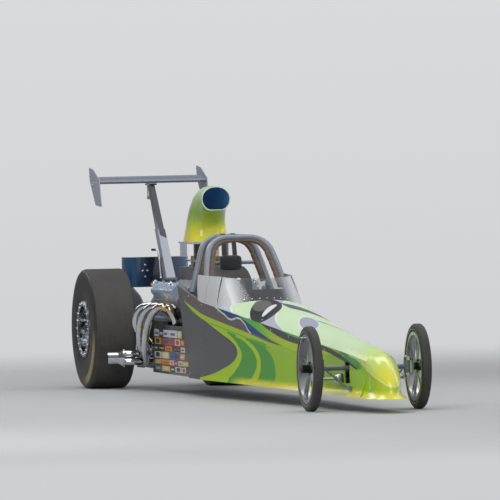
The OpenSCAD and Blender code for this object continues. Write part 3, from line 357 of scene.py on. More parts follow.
def circle(place, side, other, radius, sides):
    turns = [2 * math.pi * k / sides for k in range(sides)]
    return [place + (side * math.cos(t) + other * math.sin(t)) * radius for t in turns]


def tube(path, radius, sides=14):
    """Points and faces of a round bar along a path; radius is one number, or one for each place."""
    radii = radius if isinstance(radius, list) else [radius] * len(path)
    rings, side = [], None
    for i, place in enumerate(path):
        along = (path[min(i + 1, len(path) - 1)] - path[max(i - 1, 0)]).normalized()
        side = along.orthogonal() if side is None else side - along * side.dot(along)
        side.normalize()
        rings.append(circle(place, side, along.cross(side), radii[i], sides))
    return loft(rings)


def turned(profile, origin, axis, sides=32, caps=True):
    """Points and faces of a piece turned about an axis, from its radii and heights."""
    axis = Vector(axis).normalized()
    side = axis.orthogonal().normalized()
    return loft([circle(origin + axis * h, side, axis.cross(side), r, sides) for r, h in profile], caps)


def piece(name, shapes, material, body, crease=35):
    """Added piece: joined shapes with a material, riding on a CAD body."""
    points, faces = [], []
    for some_points, some_faces in shapes:
        faces += [tuple(i + len(points) for i in face) for face in some_faces]
        points += some_points
    made = mesh_object(name, points, faces, material, smooth=True)
    work_mesh = bmesh.new()
    work_mesh.from_mesh(made.data)
    bmesh.ops.recalc_face_normals(work_mesh, faces=work_mesh.faces)
    work_mesh.to_mesh(made.data)
    work_mesh.free()
    made.data.set_sharp_from_angle(angle=math.radians(crease))
    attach(made, body)
    return made


dress(["roll_cage"], paint("cage_satin", cage_blue, gloss=0.32, ripple=0.1, coat=0.3), smooth=True)
foam, tree, shader = new_material("strap_foam")
feed(shader, {"Base Color": over(noise(tree, 18.0, 5.0), foam_brown, foam_worn), "Roughness": 0.82,
              "Normal": bump(noise(tree, 700.0, 4.0, 0.7), 0.5, 0.0008), "Sheen Weight": 0.3})
for name, (foot_x, knee_x, top_x, low_z) in hoops.items():
    lean = (top_x - knee_x) / (hoop_top_z - knee_z)
    leg_lean = (foot_x - knee_x) / (foot_z - knee_z)
    rays = []
    for k in range(leg_steps):
        z = low_z + (hoop_middle_z - low_z) * k / leg_steps
        rays.append((at(knee_x + (lean if z > knee_z else leg_lean) * (z - knee_z), 0, z), Vector((0, 1, 0)), foam_r))
    over_top = []
    for k in range(arch_steps + 1):
        turn = math.pi * k / arch_steps
        way = Vector((lean * math.sin(turn), math.cos(turn), math.sin(turn))).normalized()
        thin = max(0.0, math.sin(turn)) ** 2
        over_top.append((at(knee_x + lean * (hoop_middle_z - knee_z), 0, hoop_middle_z), way,
                         foam_r + (foam_top_r - foam_r) * thin))
    rays += over_top + [(start, -way, radius) for start, way, radius in reversed(rays)]
    path = [on_surface("roll_cage", start, way)[0] - way * (radius - foam_bite) for start, way, radius in rays]
    for _ in range(smoothings):
        path[1:-1] = [(a + b * 2 + c) / 4 for a, b, c in zip(path, path[1:], path[2:])]
    length, radii = 0.0, []
    for k, (place, ray) in enumerate(zip(path, rays)):
        length += (place - path[max(k - 1, 0)]).length
        off = length % strap_pitch - strap_pitch / 2
        radii.append(ray[2] * (1 - strap_pinch * math.exp(-(off / strap_w) ** 2)))
    radii[0] = radii[-1] = foam_r * end_share
    piece(name, [tube(path, radii, 20)], foam, "chassis", crease=60)

# Engine: block, heads, gearbox and axle housing are castings; covers and manifold are machined or polished.
# Ribs, bolts and breathers dress the covers, an oval flange holds each header tube.
# A pipe on each side feeds the carburettors.
cast_grey, block_grey = (0.33, 0.335, 0.345), (0.105, 0.110, 0.120)
crank_z, bank_lean = 0.45, math.sqrt(0.5)
cover_top, cover_bolt_v = 0.405, 0.031
cover_bolts = [1.03 + 0.2033 * i for i in range(4)]
rib_x, rib_vs, rib_w, rib_h, rib_taper = (1.165, 1.505), (-0.016, 0.0, 0.016), 0.006, 0.0045, 0.006
breather_x = (1.085, 1.585)
breather = [(0.016, -0.002), (0.016, 0.012), (0.025, 0.014), (0.026, 0.018), (0.026, 0.034), (0.024, 0.038),
            (0.012, 0.040), (0.002, 0.040)]
port_x = [1.105 + 0.15 * i for i in range(4)]
port_u, port_v = 0.290, 0.085
flange_l, flange_w, flange_t, flange_bolt = 0.043, 0.031, 0.008, 0.0355
feed_x, feed_y, feed_z, feed_r, feed_end = (1.195, 1.605), 0.100, 0.911, 0.0065, 0.004
bowl_x, bowl_y, bowl_pipe_r = (1.212, 1.368, 1.432, 1.588), 0.060, 0.0045
bell_r, bell_z, bell_bolts = 0.172, crank_z - 0.012, 12
axle_cover_r, axle_cover_z, axle_bolts = 0.112, 0.42, 10
# Bolt heads and nuts: width and height
cover_head, flange_head, feed_nut = (0.012, 0.008), (0.011, 0.008), (0.013, 0.012)
bell_head, axle_head = (0.016, 0.011), (0.013, 0.009)

# Cast grain: sand texture with darker, oily hollows
cast_grain, inner, outer = shader_group("cast_grain", {"Roughness": 0.5, "Grain": 0.3}, skin_sockets)
place = add(cast_grain, "ShaderNodeTexCoord").outputs["Object"]
sand, oil = noise(cast_grain, 420.0, 4.0, 0.6, place), noise(cast_grain, 14.0, 6.0, 0.65, place)
feed(outer, {"Tone": graded(oil, 0.72, 1.08, 0.3, 0.7), "Roughness": times(plus(oil, 0.5), inner["Roughness"]),
             "Normal": bump(sand, inner["Grain"], 0.0008)})

# Turned grain: fine scratches across one direction, as on brushed, spun or drawn metal
turned_grain, inner, outer = shader_group("turned_grain", {"Roughness": 0.2, "Grain": 0.1, "Along": 0.04},
                                          skin_sockets)
place = add(turned_grain, "ShaderNodeTexCoord").outputs["Object"]
squeeze = add(turned_grain, "ShaderNodeCombineXYZ", {"X": inner["Along"], "Y": 1.0, "Z": 1.0})
drawn = add(turned_grain, "ShaderNodeVectorMath", {0: place, 1: squeeze.outputs[0]}, operation="MULTIPLY")
lines, haze = noise(turned_grain, 520.0, 3.0, place=drawn.outputs[0]), noise(turned_grain, 11.0, 5.0, 0.6, place)
rough = plus(plus(times(lines, 0.35), 0.3), haze)
feed(outer, {"Tone": graded(haze, 0.86, 1.06, 0.25, 0.75), "Roughness": times(rough, inner["Roughness"]),
             "Normal": bump(lines, inner["Grain"], 0.0002)})


def metal(name, colour, rough, grain, group, along=None, metallic=1.0, coat=0.0, dust=(0.5, 0.3)):
    """Bare metal of a colour or tint, with cast grain, or with turned grain and its stretch along the car."""
    skin = {"Roughness": rough, "Grain": grain}
    if along:
        skin["Along"] = along
    return coated(name, colour, group, skin, dust, {"Metallic": metallic, "Coat Weight": coat})


cast_iron = metal("cast_iron", block_grey, 0.55, 0.45, cast_grain, metallic=0.55)
cast_alloy = metal("cast_alloy", cast_grey, 0.45, 0.4, cast_grain)
brushed = metal("brushed_alloy", (0.62, 0.64, 0.67), 0.34, 0.25, turned_grain, along=0.05)
machined = metal("machined_steel", (0.52, 0.53, 0.55), 0.28, 0.15, turned_grain, along=1.0)
mirror = metal("polished_alloy", (0.80, 0.82, 0.85), 0.10, 0.05, turned_grain, along=0.3)
black_steel = metal("black_steel", (0.030, 0.031, 0.034), 0.45, 0.3, cast_grain, metallic=0.3, coat=0.1)
dress(["engine_block", "transmission", "axle_housing"], cast_iron)
dress(["cylinder_heads", "intake_manifold"], cast_alloy)
dress(["motor_plate", "rack_housing"], brushed)
dress(["carburettors"], metal("plated_zinc", (0.55, 0.49, 0.36), 0.3, 0.25, cast_grain))
cover_alloy = metal("cover_alloy", (0.40, 0.50, 0.66), 0.42, 0.2, turned_grain, along=0.05, metallic=0.45, coat=0.3)
dress(["valve_covers"], cover_alloy)
zinc = metal("zinc_bolts", (0.70, 0.70, 0.70), 0.22, 0.1, turned_grain, along=1.0)


def bank(side, x, u, v):
    """Place on a cylinder bank: u out along the cylinders, v across them, from the crank."""
    return at(x, side * (u + v) * bank_lean, crank_z + (u - v) * bank_lean)


def bolt(place, axis, width, height):
    """Shapes of a bolt head: a washer and a chamfered hexagon."""
    washer = [(width * 0.72, -0.001), (width * 0.72, height * 0.22), (width * 0.66, height * 0.26)]
    head = [(width * 0.577, height * 0.2), (width * 0.577, height * 0.84), (width * 0.47, height)]
    return [turned(washer, place, axis, 20), turned(head, place, axis, 6)]


def rivet(place, axis, radius, height):
    """Shape of a domed rivet or fastener head."""
    dome = [(1.0, -0.3), (1.0, 0.15), (0.92, 0.5), (0.68, 0.82), (0.35, 0.97), (0.05, 1.0)]
    return turned([(radius * r, height * h) for r, h in dome], place, axis, 16)


ribs, bolts, breathers, flanges, feeds = [], [], [], [], []
for side in (-1, 1):
    out_way = Vector((0, side * bank_lean, bank_lean))
    port_way = Vector((0, side * bank_lean, -bank_lean))
    for v in rib_vs:
        section = [(-rib_w / 2, -0.001), (rib_w / 2, -0.001), (rib_w * 0.36, rib_h * 0.8), (rib_w * 0.2, rib_h),
                   (-rib_w * 0.2, rib_h), (-rib_w * 0.36, rib_h * 0.8)]
        ends = [(rib_x[0], 0.5), (rib_x[0] + rib_taper, 1), (rib_x[1] - rib_taper, 1), (rib_x[1], 0.5)]
        ribs.append(loft([[bank(side, x, cover_top + h * share, v + w) for w, h in section] for x, share in ends]))
    for x in cover_bolts:
        for v in (-cover_bolt_v, cover_bolt_v):
            bolts += bolt(bank(side, x, cover_top, v), out_way, *cover_head)
    for x in breather_x:
        breathers.append(turned(breather, bank(side, x, cover_top, 0), out_way))
    for x in port_x:
        turns = [2 * math.pi * k / 40 for k in range(40)]
        flanges.append(loft([[bank(side, x + flange_l * grow * math.cos(t), port_u + flange_w * grow * math.sin(t),
                                   port_v + h) for t in turns]
                             for h, grow in ((-0.001, 1), (flange_t * 0.8, 1), (flange_t, 0.95))]))
        for along in (-flange_bolt, flange_bolt):
            bolts += bolt(bank(side, x + along, port_u, port_v + flange_t), port_way, *flange_head)
    pipe_x = (feed_x[0], feed_x[0] + feed_end, feed_x[1] - feed_end, feed_x[1])
    feeds.append(tube([at(x, side * feed_y, feed_z) for x in pipe_x], [feed_r * 0.6, feed_r, feed_r, feed_r * 0.6]))
    for x in bowl_x:
        feeds.append(tube([at(x, side * feed_y, feed_z), at(x, side * bowl_y, feed_z)], bowl_pipe_r))
        feeds += bolt(at(x, side * (bowl_y + feed_nut[1]), feed_z), (0, side, 0), *feed_nut)
for k in range(bell_bolts):
    turn = 2 * math.pi * (k + 0.5) / bell_bolts
    start = at(0.3, bell_r * math.cos(turn), bell_z + bell_r * math.sin(turn))
    bolts += bolt(*on_surface("transmission", start, (1, 0, 0)), *bell_head)
for side in (-1, 1):
    for k in range(axle_bolts):
        turn = math.pi * (0.30 + 1.40 * k / (axle_bolts - 1))
        start = at(axle_cover_r * math.cos(turn), side * 0.3, axle_cover_z + axle_cover_r * math.sin(turn))
        bolts += bolt(*on_surface("axle_housing", start, (0, -side, 0)), *axle_head)
piece("cover_ribs", ribs, cover_alloy, "chassis")
piece("cover_breathers", breathers, mirror, "chassis")
piece("header_flanges", flanges, machined, "chassis")
piece("engine_bolts", bolts, zinc, "chassis")
piece("feed_pipes", feeds, mirror, "chassis")

# Headers and collectors: chromed steel tube, straw and blue from heat near the ports.
# Four tubes a side sweep out and down into a collector that opens beside the rear tyre.
port_y, port_z = 0.266, 0.596
straw = (0.62, 0.46, 0.24)
heat_blue = (0.20, 0.25, 0.48)
chrome_grey = (0.70, 0.71, 0.73)


def axes(tree):
    """Sockets of a point's place: X from the rear axle, Y and Z."""
    parts = parts_of(tree, "Object")
    return minus(parts["X"], rear_axle_x), parts["Y"], parts["Z"]


def heat_tint(tree):
    _, y, z = axes(tree)
    out, drop = minus(work("ABSOLUTE", y), port_y), work("ABSOLUTE", minus(z, port_z))
    reach = plus(plus(out, drop), times(noise(tree, 22.0, 3.0), 0.06))
    tint = over(ramp_of(reach, 0.035, 0.075), heat_blue, straw)
    return over(ramp_of(reach, 0.07, 0.16), tint, chrome_grey)


chrome = metal("heated_chrome", heat_tint, 0.055, 0.03, turned_grain, along=1.0, dust=(0.3, 0.08))
dress(["header_right", "header_left"], chrome, smooth=True)
dress(["collectors"], chrome)

# Air scoop: moulded shell over the carburettors, yellow at the base, green above and pale at the top.
# The mouth faces forward over the cage with a pale rim and a blue inside; screws hold the skirts to the tray.
scoop_mouth_x, scoop_mouth_z = 1.745, 1.34
scoop_base_x, scoop_base_z = 1.40, 1.042
pale_green, rim_green = (0.56, 0.74, 0.42), (0.70, 0.84, 0.62)
scoop_green = (0.30, 0.50, 0.055)
paint_yellow = (0.80, 0.77, 0.055)
inner_blue = (0.260, 0.580, 0.900)
skirt_grey = (0.52, 0.55, 0.66)
skirt_screws = [(1.262, 0.965), (1.262, 1.012), (1.34, 0.99), (1.418, 0.965), (1.418, 1.012)]
skirt_head = (0.006, 0.003)


def span(a, b):
    """Length across two sides at a right angle."""
    return work("POWER", plus(times(a, a), times(b, b)), 0.5)


def scoop_design(tree):
    x, y, z = axes(tree)
    colour = over(ramp_of(z, 1.10, 1.24), paint_yellow, scoop_green)
    colour = over(ramp_of(z, 1.25, 1.39), colour, pale_green)
    colour = over(ramp_of(z, scoop_base_z + 0.004, scoop_base_z + 0.001), colour, skirt_grey)
    # The duct bends about the point below the mouth and ahead of the base: outward is away from its middle line
    dx = work("DIVIDE", minus(x, scoop_mouth_x), scoop_mouth_x - scoop_base_x)
    dz = work("DIVIDE", minus(z, scoop_base_z), scoop_mouth_z - scoop_base_z)
    off = times(minus(span(dx, dz), 1.0), 0.32)
    outward = add(tree, "ShaderNodeCombineXYZ", {"X": times(off, dx), "Y": y, "Z": times(off, dz)})
    facing = add(tree, "ShaderNodeTexCoord").outputs["Normal"]
    inward = add(tree, "ShaderNodeVectorMath", {0: facing, 1: outward.outputs[0]}, operation="DOT_PRODUCT")
    inside = times(ramp_of(inward.outputs["Value"], -0.006, -0.012),
                   ramp_of(z, scoop_base_z + 0.01, scoop_base_z + 0.02))
    colour = over(inside, colour, inner_blue)
    return over(ramp_of(x, scoop_mouth_x - 0.008, scoop_mouth_x - 0.006), colour, rim_green)


dress(["air_scoop"], paint("scoop_paint", scoop_design, gloss=0.2, coat=0.5), smooth=True)
screws = []
for side in (-1, 1):
    for x, z in skirt_screws:
        screws.append(rivet(*on_surface("air_scoop", at(x, side * 0.4, z), (0, -side, 0)), *skirt_head))
piece("skirt_screws", screws, zinc, "chassis")

# Rear axle, brakes and wheels: spun alloy rims with beadlock rings, and slicks with fine rings on the sidewall.
# The tread is scuffed grey-brown with streaks along its turning direction.
# Both axles: height of the hubs, which is the radius of their tyres
hub_z_rear, hub_z_front, front_axle_x = 0.42, 0.28, 6.1
rubber_black, rubber_grey, rubber_dust = (0.020, 0.020, 0.022), (0.045, 0.044, 0.046), (0.16, 0.145, 0.125)
rear_tread, front_tread, line_ochre = (0.074, 0.069, 0.066), (0.06, 0.058, 0.056), (0.55, 0.42, 0.16)
hub_black, spoke_grey = (0.020, 0.020, 0.022), (0.46, 0.47, 0.49)


def polar(tree, axle_x, axle_z):
    """Sockets of a point's distance from an axle and of its angle about it, -1 to 1."""
    x, y, z = axes(tree)
    dx, dz = minus(x, axle_x), minus(z, axle_z)
    return span(dx, dz), work("DIVIDE", work("ARCTAN2", dz, dx), math.pi), y


def rubber(name, axle_x, radius, tread, line):
    """Tyre rubber: scuffed tread, ringed sidewall, and a painted line on it."""
    material, tree, shader = new_material(name)
    reach, angle, y = polar(tree, axle_x, radius)
    spread = add(tree, "ShaderNodeCombineXYZ", {"X": times(angle, 1.2), "Y": times(y, 14.0), "Z": reach})
    streak = noise(tree, 9.0, 7.0, 0.7, spread.outputs[0])
    grain, blotch = noise(tree, 260.0, 3.0), noise(tree, 9.0, 6.0, 0.65)
    worn = times(ramp_of(reach, radius - 0.016, radius - 0.004), ramp_of(streak, 0.2, 0.75))
    colour = over(ramp_of(blotch, 0.35, 0.8), rubber_black, rubber_grey)
    colour = over(line(reach, angle), over(worn, colour, tread), line_ochre)
    dust = add(tree, "ShaderNodeGroup", {"Top": radius * 2.2, "Amount": 0.35}, node_tree=road_dust).outputs[0]
    rings = times(work("SINE", times(reach, 900.0)), ramp_of(reach, radius - 0.012, radius - 0.02))
    relief = plus(times(rings, 0.35), plus(times(streak, 0.5), times(grain, 0.4)))
    feed(shader, {"Base Color": over(dust, colour, rubber_dust), "Normal": bump(relief, 0.25, 0.0015),
                  "Roughness": graded(plus(worn, times(blotch, 0.4)), 0.42, 0.85)})
    return material


def band(value, low, high, soft):
    """1 between low and high, with soft edges."""
    return times(ramp_of(value, low - soft, low + soft), ramp_of(value, high + soft, high - soft))


def ring_line(reach, _):
    return times(band(reach, 0.243, 0.2465, 0.0008), 0.8)


def scuff_arc(reach, angle):
    return times(band(reach, 0.344, 0.392, 0.010), times(band(angle, -0.46, -0.06, 0.10), 0.7))


dress(["rear_tyres"], rubber("slick_rubber", 0.0, hub_z_rear, rear_tread, scuff_arc))
dress(["front_tyre_right", "front_tyre_left"],
      rubber("front_rubber", front_axle_x, hub_z_front, front_tread, ring_line))
dress(["rear_rims"], mirror)


def spoke_tint(tree):
    return over(ramp_of(polar(tree, front_axle_x, hub_z_front)[0], 0.046, 0.049), hub_black, spoke_grey)


front_alloy = metal("front_alloy", spoke_tint, 0.30, 0.2, turned_grain, along=1.0)
dress(["front_rim_right", "front_rim_left"], front_alloy)
dress(["axle_shaft", "brake_discs", "tie_rod"], machined)
dress(["spindle_right", "spindle_left"], mirror)
dress(["brake_calipers"], paint("caliper_red", (0.42, 0.020, 0.014), gloss=0.3))
# Beadlock ring: radii of its edges, its face from the middle, its thickness and its rounding
lock_in, lock_out, lock_y, lock_t, lock_round = 0.160, 0.1985, 0.5838, 0.0065, 0.0015
# Bolts of the ring and nuts of the hub: number, radius of their circle, place from the middle, width and height
ring_rows = [(20, 0.1815, lock_y + lock_t, 0.011, 0.006), (5, 0.040, 0.467, 0.019, 0.016)]
shaft_end = 0.479
shaft_cap = [(0.021, -0.012), (0.021, 0.004), (0.018, 0.008), (0.008, 0.010), (0.001, 0.010)]
rings, ring_bolts, caps = [], [], []
for side in (-1, 1):
    out_way = Vector((0, side, 0))
    hub = at(0, 0, hub_z_rear)
    edge = [(lock_out, 0), (lock_out, lock_t - lock_round), (lock_out - lock_round, lock_t),
            (lock_in + lock_round, lock_t), (lock_in, lock_t - lock_round), (lock_in, 0), (lock_out, 0)]
    rings.append(turned(edge, hub + out_way * lock_y, out_way, 96, caps=False))
    for count, reach, off, width, height in ring_rows:
        for k in range(count):
            turn = 2 * math.pi * k / count
            spoke = Vector((math.cos(turn), 0, math.sin(turn)))
            ring_bolts += bolt(hub + spoke * reach + out_way * off, out_way, width, height)
    caps.append(turned(shaft_cap, hub + out_way * shaft_end, out_way))
piece("beadlock_rings", rings, machined, "rear_wheelset")
piece("beadlock_bolts", ring_bolts, zinc, "rear_wheelset")
piece("shaft_caps", caps, black_steel, "rear_wheelset")

# Front hubs: a black dust cap and a screwed valve stem ride on each front wheel.
# Hexagon nuts close each kingpin above and below, and ride on the knuckle.
kingpin_y, kingpin_top, kingpin_low, kingpin_nut = 0.290, 0.337, 0.223, (0.026, 0.013)
stem_r = 0.205
dust_cap = [(0.0235, -0.002), (0.0235, 0.006), (0.021, 0.011), (0.013, 0.0145), (0.001, 0.0155)]
valve_stem = [(0.0045, -0.003), (0.0045, 0.008), (0.0034, 0.009), (0.0034, 0.020), (0.0042, 0.021),
              (0.0042, 0.027), (0.0030, 0.029)]
for side, way in ((-1, "right"), (1, "left")):
    out_way = Vector((0, side, 0))
    outer_y = max(abs(corner.y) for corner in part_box("front_rim_" + way))
    hub = at(front_axle_x, side * outer_y, hub_z_front)
    piece("dust_cap_" + way, [turned(dust_cap, hub, out_way)], black_steel, "front_wheel_" + way)
    place, _ = on_surface("front_rim_" + way, at(front_axle_x, side, hub_z_front + stem_r), (0, -side, 0))
    piece("valve_stem_" + way, [turned(valve_stem, place, out_way, 14)], zinc, "front_wheel_" + way)
    ends = bolt(at(front_axle_x, side * kingpin_y, kingpin_top), (0, 0, 1), *kingpin_nut)
    ends += bolt(at(front_axle_x, side * kingpin_y, kingpin_low), (0, 0, -1), *kingpin_nut)
    piece("kingpin_nuts_" + way, ends, zinc, "knuckle_" + way)

# Wing, its strut and the box over the axle: painted sheet on a central strut.
# The strut is a streamlined silver sleeve, dark above; the box is gloss blue-black with a painted blue sheen toward
# both sides, and bolts in two diamonds.
wing_blue, plate_blue = (0.125, 0.158, 0.212), (0.37, 0.405, 0.48)
strut_silver, strut_dark = (0.40, 0.42, 0.49), (0.055, 0.060, 0.075)
box_dark, box_sheen_blue = (0.010, 0.014, 0.030), (0.026, 0.105, 0.250)
box_head, plate_head = (0.010, 0.006), (0.0055, 0.0028)
box_bolts = [(0.092, 0.857), (0.110, 0.815), (0.076, 0.815), (0.092, 0.773)]
plate_screws = [(-0.510, 1.425), (-0.440, 1.440), (-0.370, 1.440), (-0.310, 1.430)]
# Lever beside the strut: foot, top and end of its handle
lever = [(0.150, -0.052, 0.772), (0.085, -0.052, 0.955), (0.080, -0.060, 0.966), (0.080, -0.100, 0.968)]
lever_foot = [(0.011, -0.004), (0.011, 0.004), (0.009, 0.008)]
lever_grip = [(0.006, 0), (0.0085, 0.004), (0.0075, 0.014), (0.0090, 0.026), (0.0060, 0.032), (0.001, 0.033)]
dress(["wing_plane"], paint("wing_paint", wing_blue, gloss=0.28, ripple=0.01, flake=0.02, coat=0.4))
dress(["wing_end_plates"], paint("plate_paint", plate_blue, gloss=0.3, ripple=0.01, flake=0.02, coat=0.4))
dress(["wing_adjuster"], brushed)


def box_colour_and_sheen(tree):
    # Painted sheen: the blue-black paint turns brighter blue toward both sides of the box
    return over(ramp_of(work("ABSOLUTE", axes(tree)[1]), 0.04, 0.26), box_dark, box_sheen_blue)


dress(["rear_box"], paint("box_paint_and_sheen", box_colour_and_sheen, gloss=0.12, coat=0.8))


def strut_design(tree):
    _, y, z = axes(tree)
    dark = times(ramp_of(plus(z, times(y, 0.5)), 1.055, 1.060), ramp_of(y, -0.022, -0.018))
    return over(dark, strut_silver, strut_dark)


dress(["wing_strut"], paint("strut_paint", strut_design, gloss=0.24, coat=0.4), smooth=True)
small = []
for side in (-1, 1):
    for y, z in box_bolts:
        small += bolt(*on_surface("rear_box", at(0.3, side * y, z), (-1, 0, 0)), *box_head)
    for x, z in plate_screws:
        small.append(rivet(*on_surface("wing_end_plates", at(x, side, z), (0, -side, 0)), *plate_head))
piece("wing_and_box_bolts", small, zinc, "chassis")
places = [at(*p) for p in lever]
handle = places[2].lerp(places[3], 0.25)
piece("strut_lever", [tube(places[:3] + [places[2].lerp(places[3], 0.3)], [0.0065, 0.0065, 0.0055, 0.0050]),
                      turned(lever_foot, places[0], (0, 0, 1))], mirror, "chassis")
piece("lever_handle", [turned(lever_grip, handle, places[3] - places[2])], black_steel, "chassis")

# Body sides, engine panels and belly pan: thin sheet screwed to the frame, painted except for the pan.
# The design runs along both sides in swept bands; its edges are curves through a few places on the panel.
lime = (0.480, 0.700, 0.006)
front_lime = (0.350, 0.610, 0.012)
mid_green = (0.075, 0.375, 0.030)
light_green = (0.100, 0.550, 0.070)
side_grey = (0.098, 0.102, 0.114)
brown_grey = (0.142, 0.122, 0.114)
side_blue = (0.012, 0.066, 0.250)
stripe_dark = (0.060, 0.068, 0.080)
off_white = (0.80, 0.82, 0.83)
bare_inside = (0.040, 0.042, 0.045)
hood_green, beak_lime = (0.590, 0.770, 0.460), (0.64, 0.78, 0.17)
panel_black = (0.018, 0.022, 0.030)
# Bands across the side: the colour ahead of an edge, and the edge as height and place along the car
bands = [
    (lime, [(0.137, 2.632), (0.171, 2.935), (0.209, 3.173), (0.246, 3.370), (0.286, 3.490), (0.325, 3.535),
            (0.367, 3.496), (0.398, 3.401), (0.432, 3.228), (0.481, 2.977), (0.531, 2.724), (0.589, 2.352),
            (0.655, 2.073)]),
    (mid_green, [(0.150, 3.325), (0.205, 3.484), (0.267, 3.605), (0.311, 3.637), (0.384, 3.536), (0.425, 3.422),
                 (0.455, 3.288)]),
    (lime, [(0.143, 3.808), (0.182, 3.907), (0.254, 3.999), (0.307, 3.974), (0.379, 3.806), (0.432, 3.500)]),
    (mid_green, [(0.136, 3.981), (0.158, 4.021), (0.235, 4.093), (0.294, 4.088), (0.361, 3.978), (0.416, 3.751)]),
    (front_lime, [(0.152, 4.421), (0.222, 4.445), (0.366, 4.227)])]
# Lines along the side: place along the car and height
lime_top = [(1.8, 0.700), (2.073, 0.655), (2.488, 0.597), (2.785, 0.559), (3.02, 0.536), (3.311, 0.509),
            (3.697, 0.474), (4.003, 0.442), (4.268, 0.415), (4.552, 0.395)]
outline = [(2.0, 0.80), (2.9, 0.66), (3.007, 0.628), (3.238, 0.578), (3.392, 0.549), (3.548, 0.562),
           (3.701, 0.533), (3.813, 0.481), (3.86, 0.466), (4.0, 0.452), (4.2, 0.430)]
lime_low = [(2.60, 0.545), (2.894, 0.511), (3.166, 0.477), (3.476, 0.450), (3.708, 0.435), (3.881, 0.426),
            (4.243, 0.398), (4.546, 0.367), (4.9, 0.33)]
beak_low = [(6.05, 0.40), (6.12, 0.376), (6.183, 0.358), (6.335, 0.340), (6.486, 0.304), (6.640, 0.266),
            (6.847, 0.207), (6.919, 0.177), (7.0, 0.16)]
green_low = [(3.588, 0.574), (3.893, 0.515), (4.157, 0.461), (4.534, 0.405), (5.0, 0.360)]
dark_low = [(4.086, 0.540), (4.312, 0.491), (4.683, 0.436), (4.952, 0.415), (5.5, 0.39), (5.927, 0.34),
            (6.365, 0.27)]
dark_high = [(4.3, 0.53), (4.686, 0.482), (4.954, 0.455), (5.526, 0.42), (5.929, 0.371), (6.366, 0.28)]
lip_top = [(3.0, 0.128), (3.4, 0.150), (4.5, 0.148), (6.0, 0.142), (6.6, 0.140)]


def edge_of(along, points):
    """Socket of a painted edge: a smooth curve through points, each a place along and a height."""
    places, heights = zip(*points)
    low, high = min(heights), max(heights)
    share = graded(along, 0.0, 1.0, places[0], places[-1])
    curve = add(along.id_data, "ShaderNodeFloatCurve", {"Value": share})
    line = curve.mapping.curves[0]
    spots = [((p - places[0]) / (places[-1] - places[0]), (h - low) / (high - low)) for p, h in points]
    line.points[0].location, line.points[-1].location = spots[0], spots[-1]
    for spot in spots[1:-1]:
        line.points.new(*spot)
    curve.mapping.update()
    return graded(curve.outputs[0], low, high)


def past(value, edge, shift=0.0, soft=0.003):
    """1 where a value is past an edge."""
    return ramp_of(minus(value, edge), shift - soft, shift + soft)


def beak_tint(x):
    """Colour of the beak: pale green behind, lime-yellow and then yellow at its tip."""
    colour = over(ramp_of(x, 6.15, 6.70), hood_green, beak_lime)
    return over(ramp_of(x, 6.68, 6.90), colour, paint_yellow)


def side_design(tree):
    x, y, z = axes(tree)
    colour = side_grey
    for tint, points in bands:
        colour = over(past(x, edge_of(z, points), soft=0.006), colour, tint)
    flame = times(past(z, edge_of(x, lime_low), soft=0.006), ramp_of(x, 2.85, 2.95))
    colour = over(flame, colour, over(ramp_of(x, 3.9, 4.7), lime, front_lime))
    top = edge_of(x, lime_top)
    pin = times(past(z, top, -0.040, 0.002), past(top, z, 0.032, 0.002))
    pin = times(pin, band(x, 2.85, 4.32, 0.10))
    colour = over(pin, colour, light_green)
    colour = over(past(z, top), colour, brown_grey)
    rim = edge_of(x, outline)
    white = times(past(z, rim, -0.007, 0.002), ramp_of(x, 3.88, 3.86))
    colour = over(white, colour, off_white)
    colour = over(past(z, rim, 0.004, 0.002), colour, side_blue)
    ahead = ramp_of(x, 3.55, 3.62)
    stripe = over(ramp_of(x, 3.9, 4.5), light_green, lime)
    colour = over(times(ahead, past(z, edge_of(x, green_low))), colour, stripe)
    dark = times(past(z, edge_of(x, dark_low)), band(x, 4.07, 6.37, 0.02))
    colour = over(dark, colour, stripe_dark)
    upper = times(past(z, edge_of(x, dark_high)), ramp_of(x, 4.3, 4.5))
    tip = over(ramp_of(x, 4.7, 5.6), light_green, front_lime)
    tip = over(band(x, 5.95, 6.45, 0.05), tip, mid_green)
    colour = over(upper, colour, tip)
    low = times(past(edge_of(x, lip_top), z, soft=0.02), ramp_of(x, 3.3, 3.7))
    colour = over(low, colour, paint_yellow)
    beak = times(past(z, edge_of(x, beak_low)), ramp_of(x, 6.14, 6.17))
    colour = over(beak, colour, beak_tint(x))
    facing = parts_of(tree, "Normal")["Y"]
    inside = ramp_of(times(facing, work("SIGN", y)), -0.3, -0.5)
    return over(inside, colour, bare_inside)


side_paint = paint("side_paint", side_design, gloss=0.24, coat=0.12, shine=0.3, dust=(0.30, 0.08))
dress(["side_panel_right", "side_panel_left"], side_paint, smooth=True)
dress(["engine_panels"], paint("panel_paint", panel_black, gloss=0.20, coat=0.4), smooth=True)
dress(["belly_pan"], brushed)

# Blank patches: rows of plain coloured film on both engine panels, each with one plain mark.
# They are flat, with cut corners, and are stuck to the outer faces; their layout is drawn by chance.
patch_rows = [0.150, 0.196, 0.238, 0.292, 0.334, 0.386, 0.446]
patch_y, patch_gap, mark_lift, patch_cut, bar_cut = 0.3054, 0.009, 0.0004, 0.004, 0.003
patch_from, patch_to, patch_slope, least_w = 1.035, 2.20, 0.60, 0.09
patch_colours = [(0.80, 0.80, 0.78), (0.62, 0.03, 0.02), (0.80, 0.28, 0.02), (0.78, 0.62, 0.04),
                 (0.020, 0.020, 0.022), (0.75, 0.76, 0.76), (0.03, 0.12, 0.40)]
chance = random.Random(11)
points, faces, tints = [], [], []


def film(side, x0, x1, z0, z1, lift, cut, tint):
    """One flat patch with cut corners, on the outer face of an engine panel."""
    corners = [(x0 + cut, z0), (x1 - cut, z0), (x1, z0 + cut), (x1, z1 - cut), (x1 - cut, z1), (x0 + cut, z1),
               (x0, z1 - cut), (x0, z0 + cut)]
    ring = range(len(points), len(points) + len(corners))
    faces.append(tuple(ring if side < 0 else reversed(ring)))
    points.extend(at(x, side * (patch_y + lift), z) for x, z in corners)
    tints.append(tint)


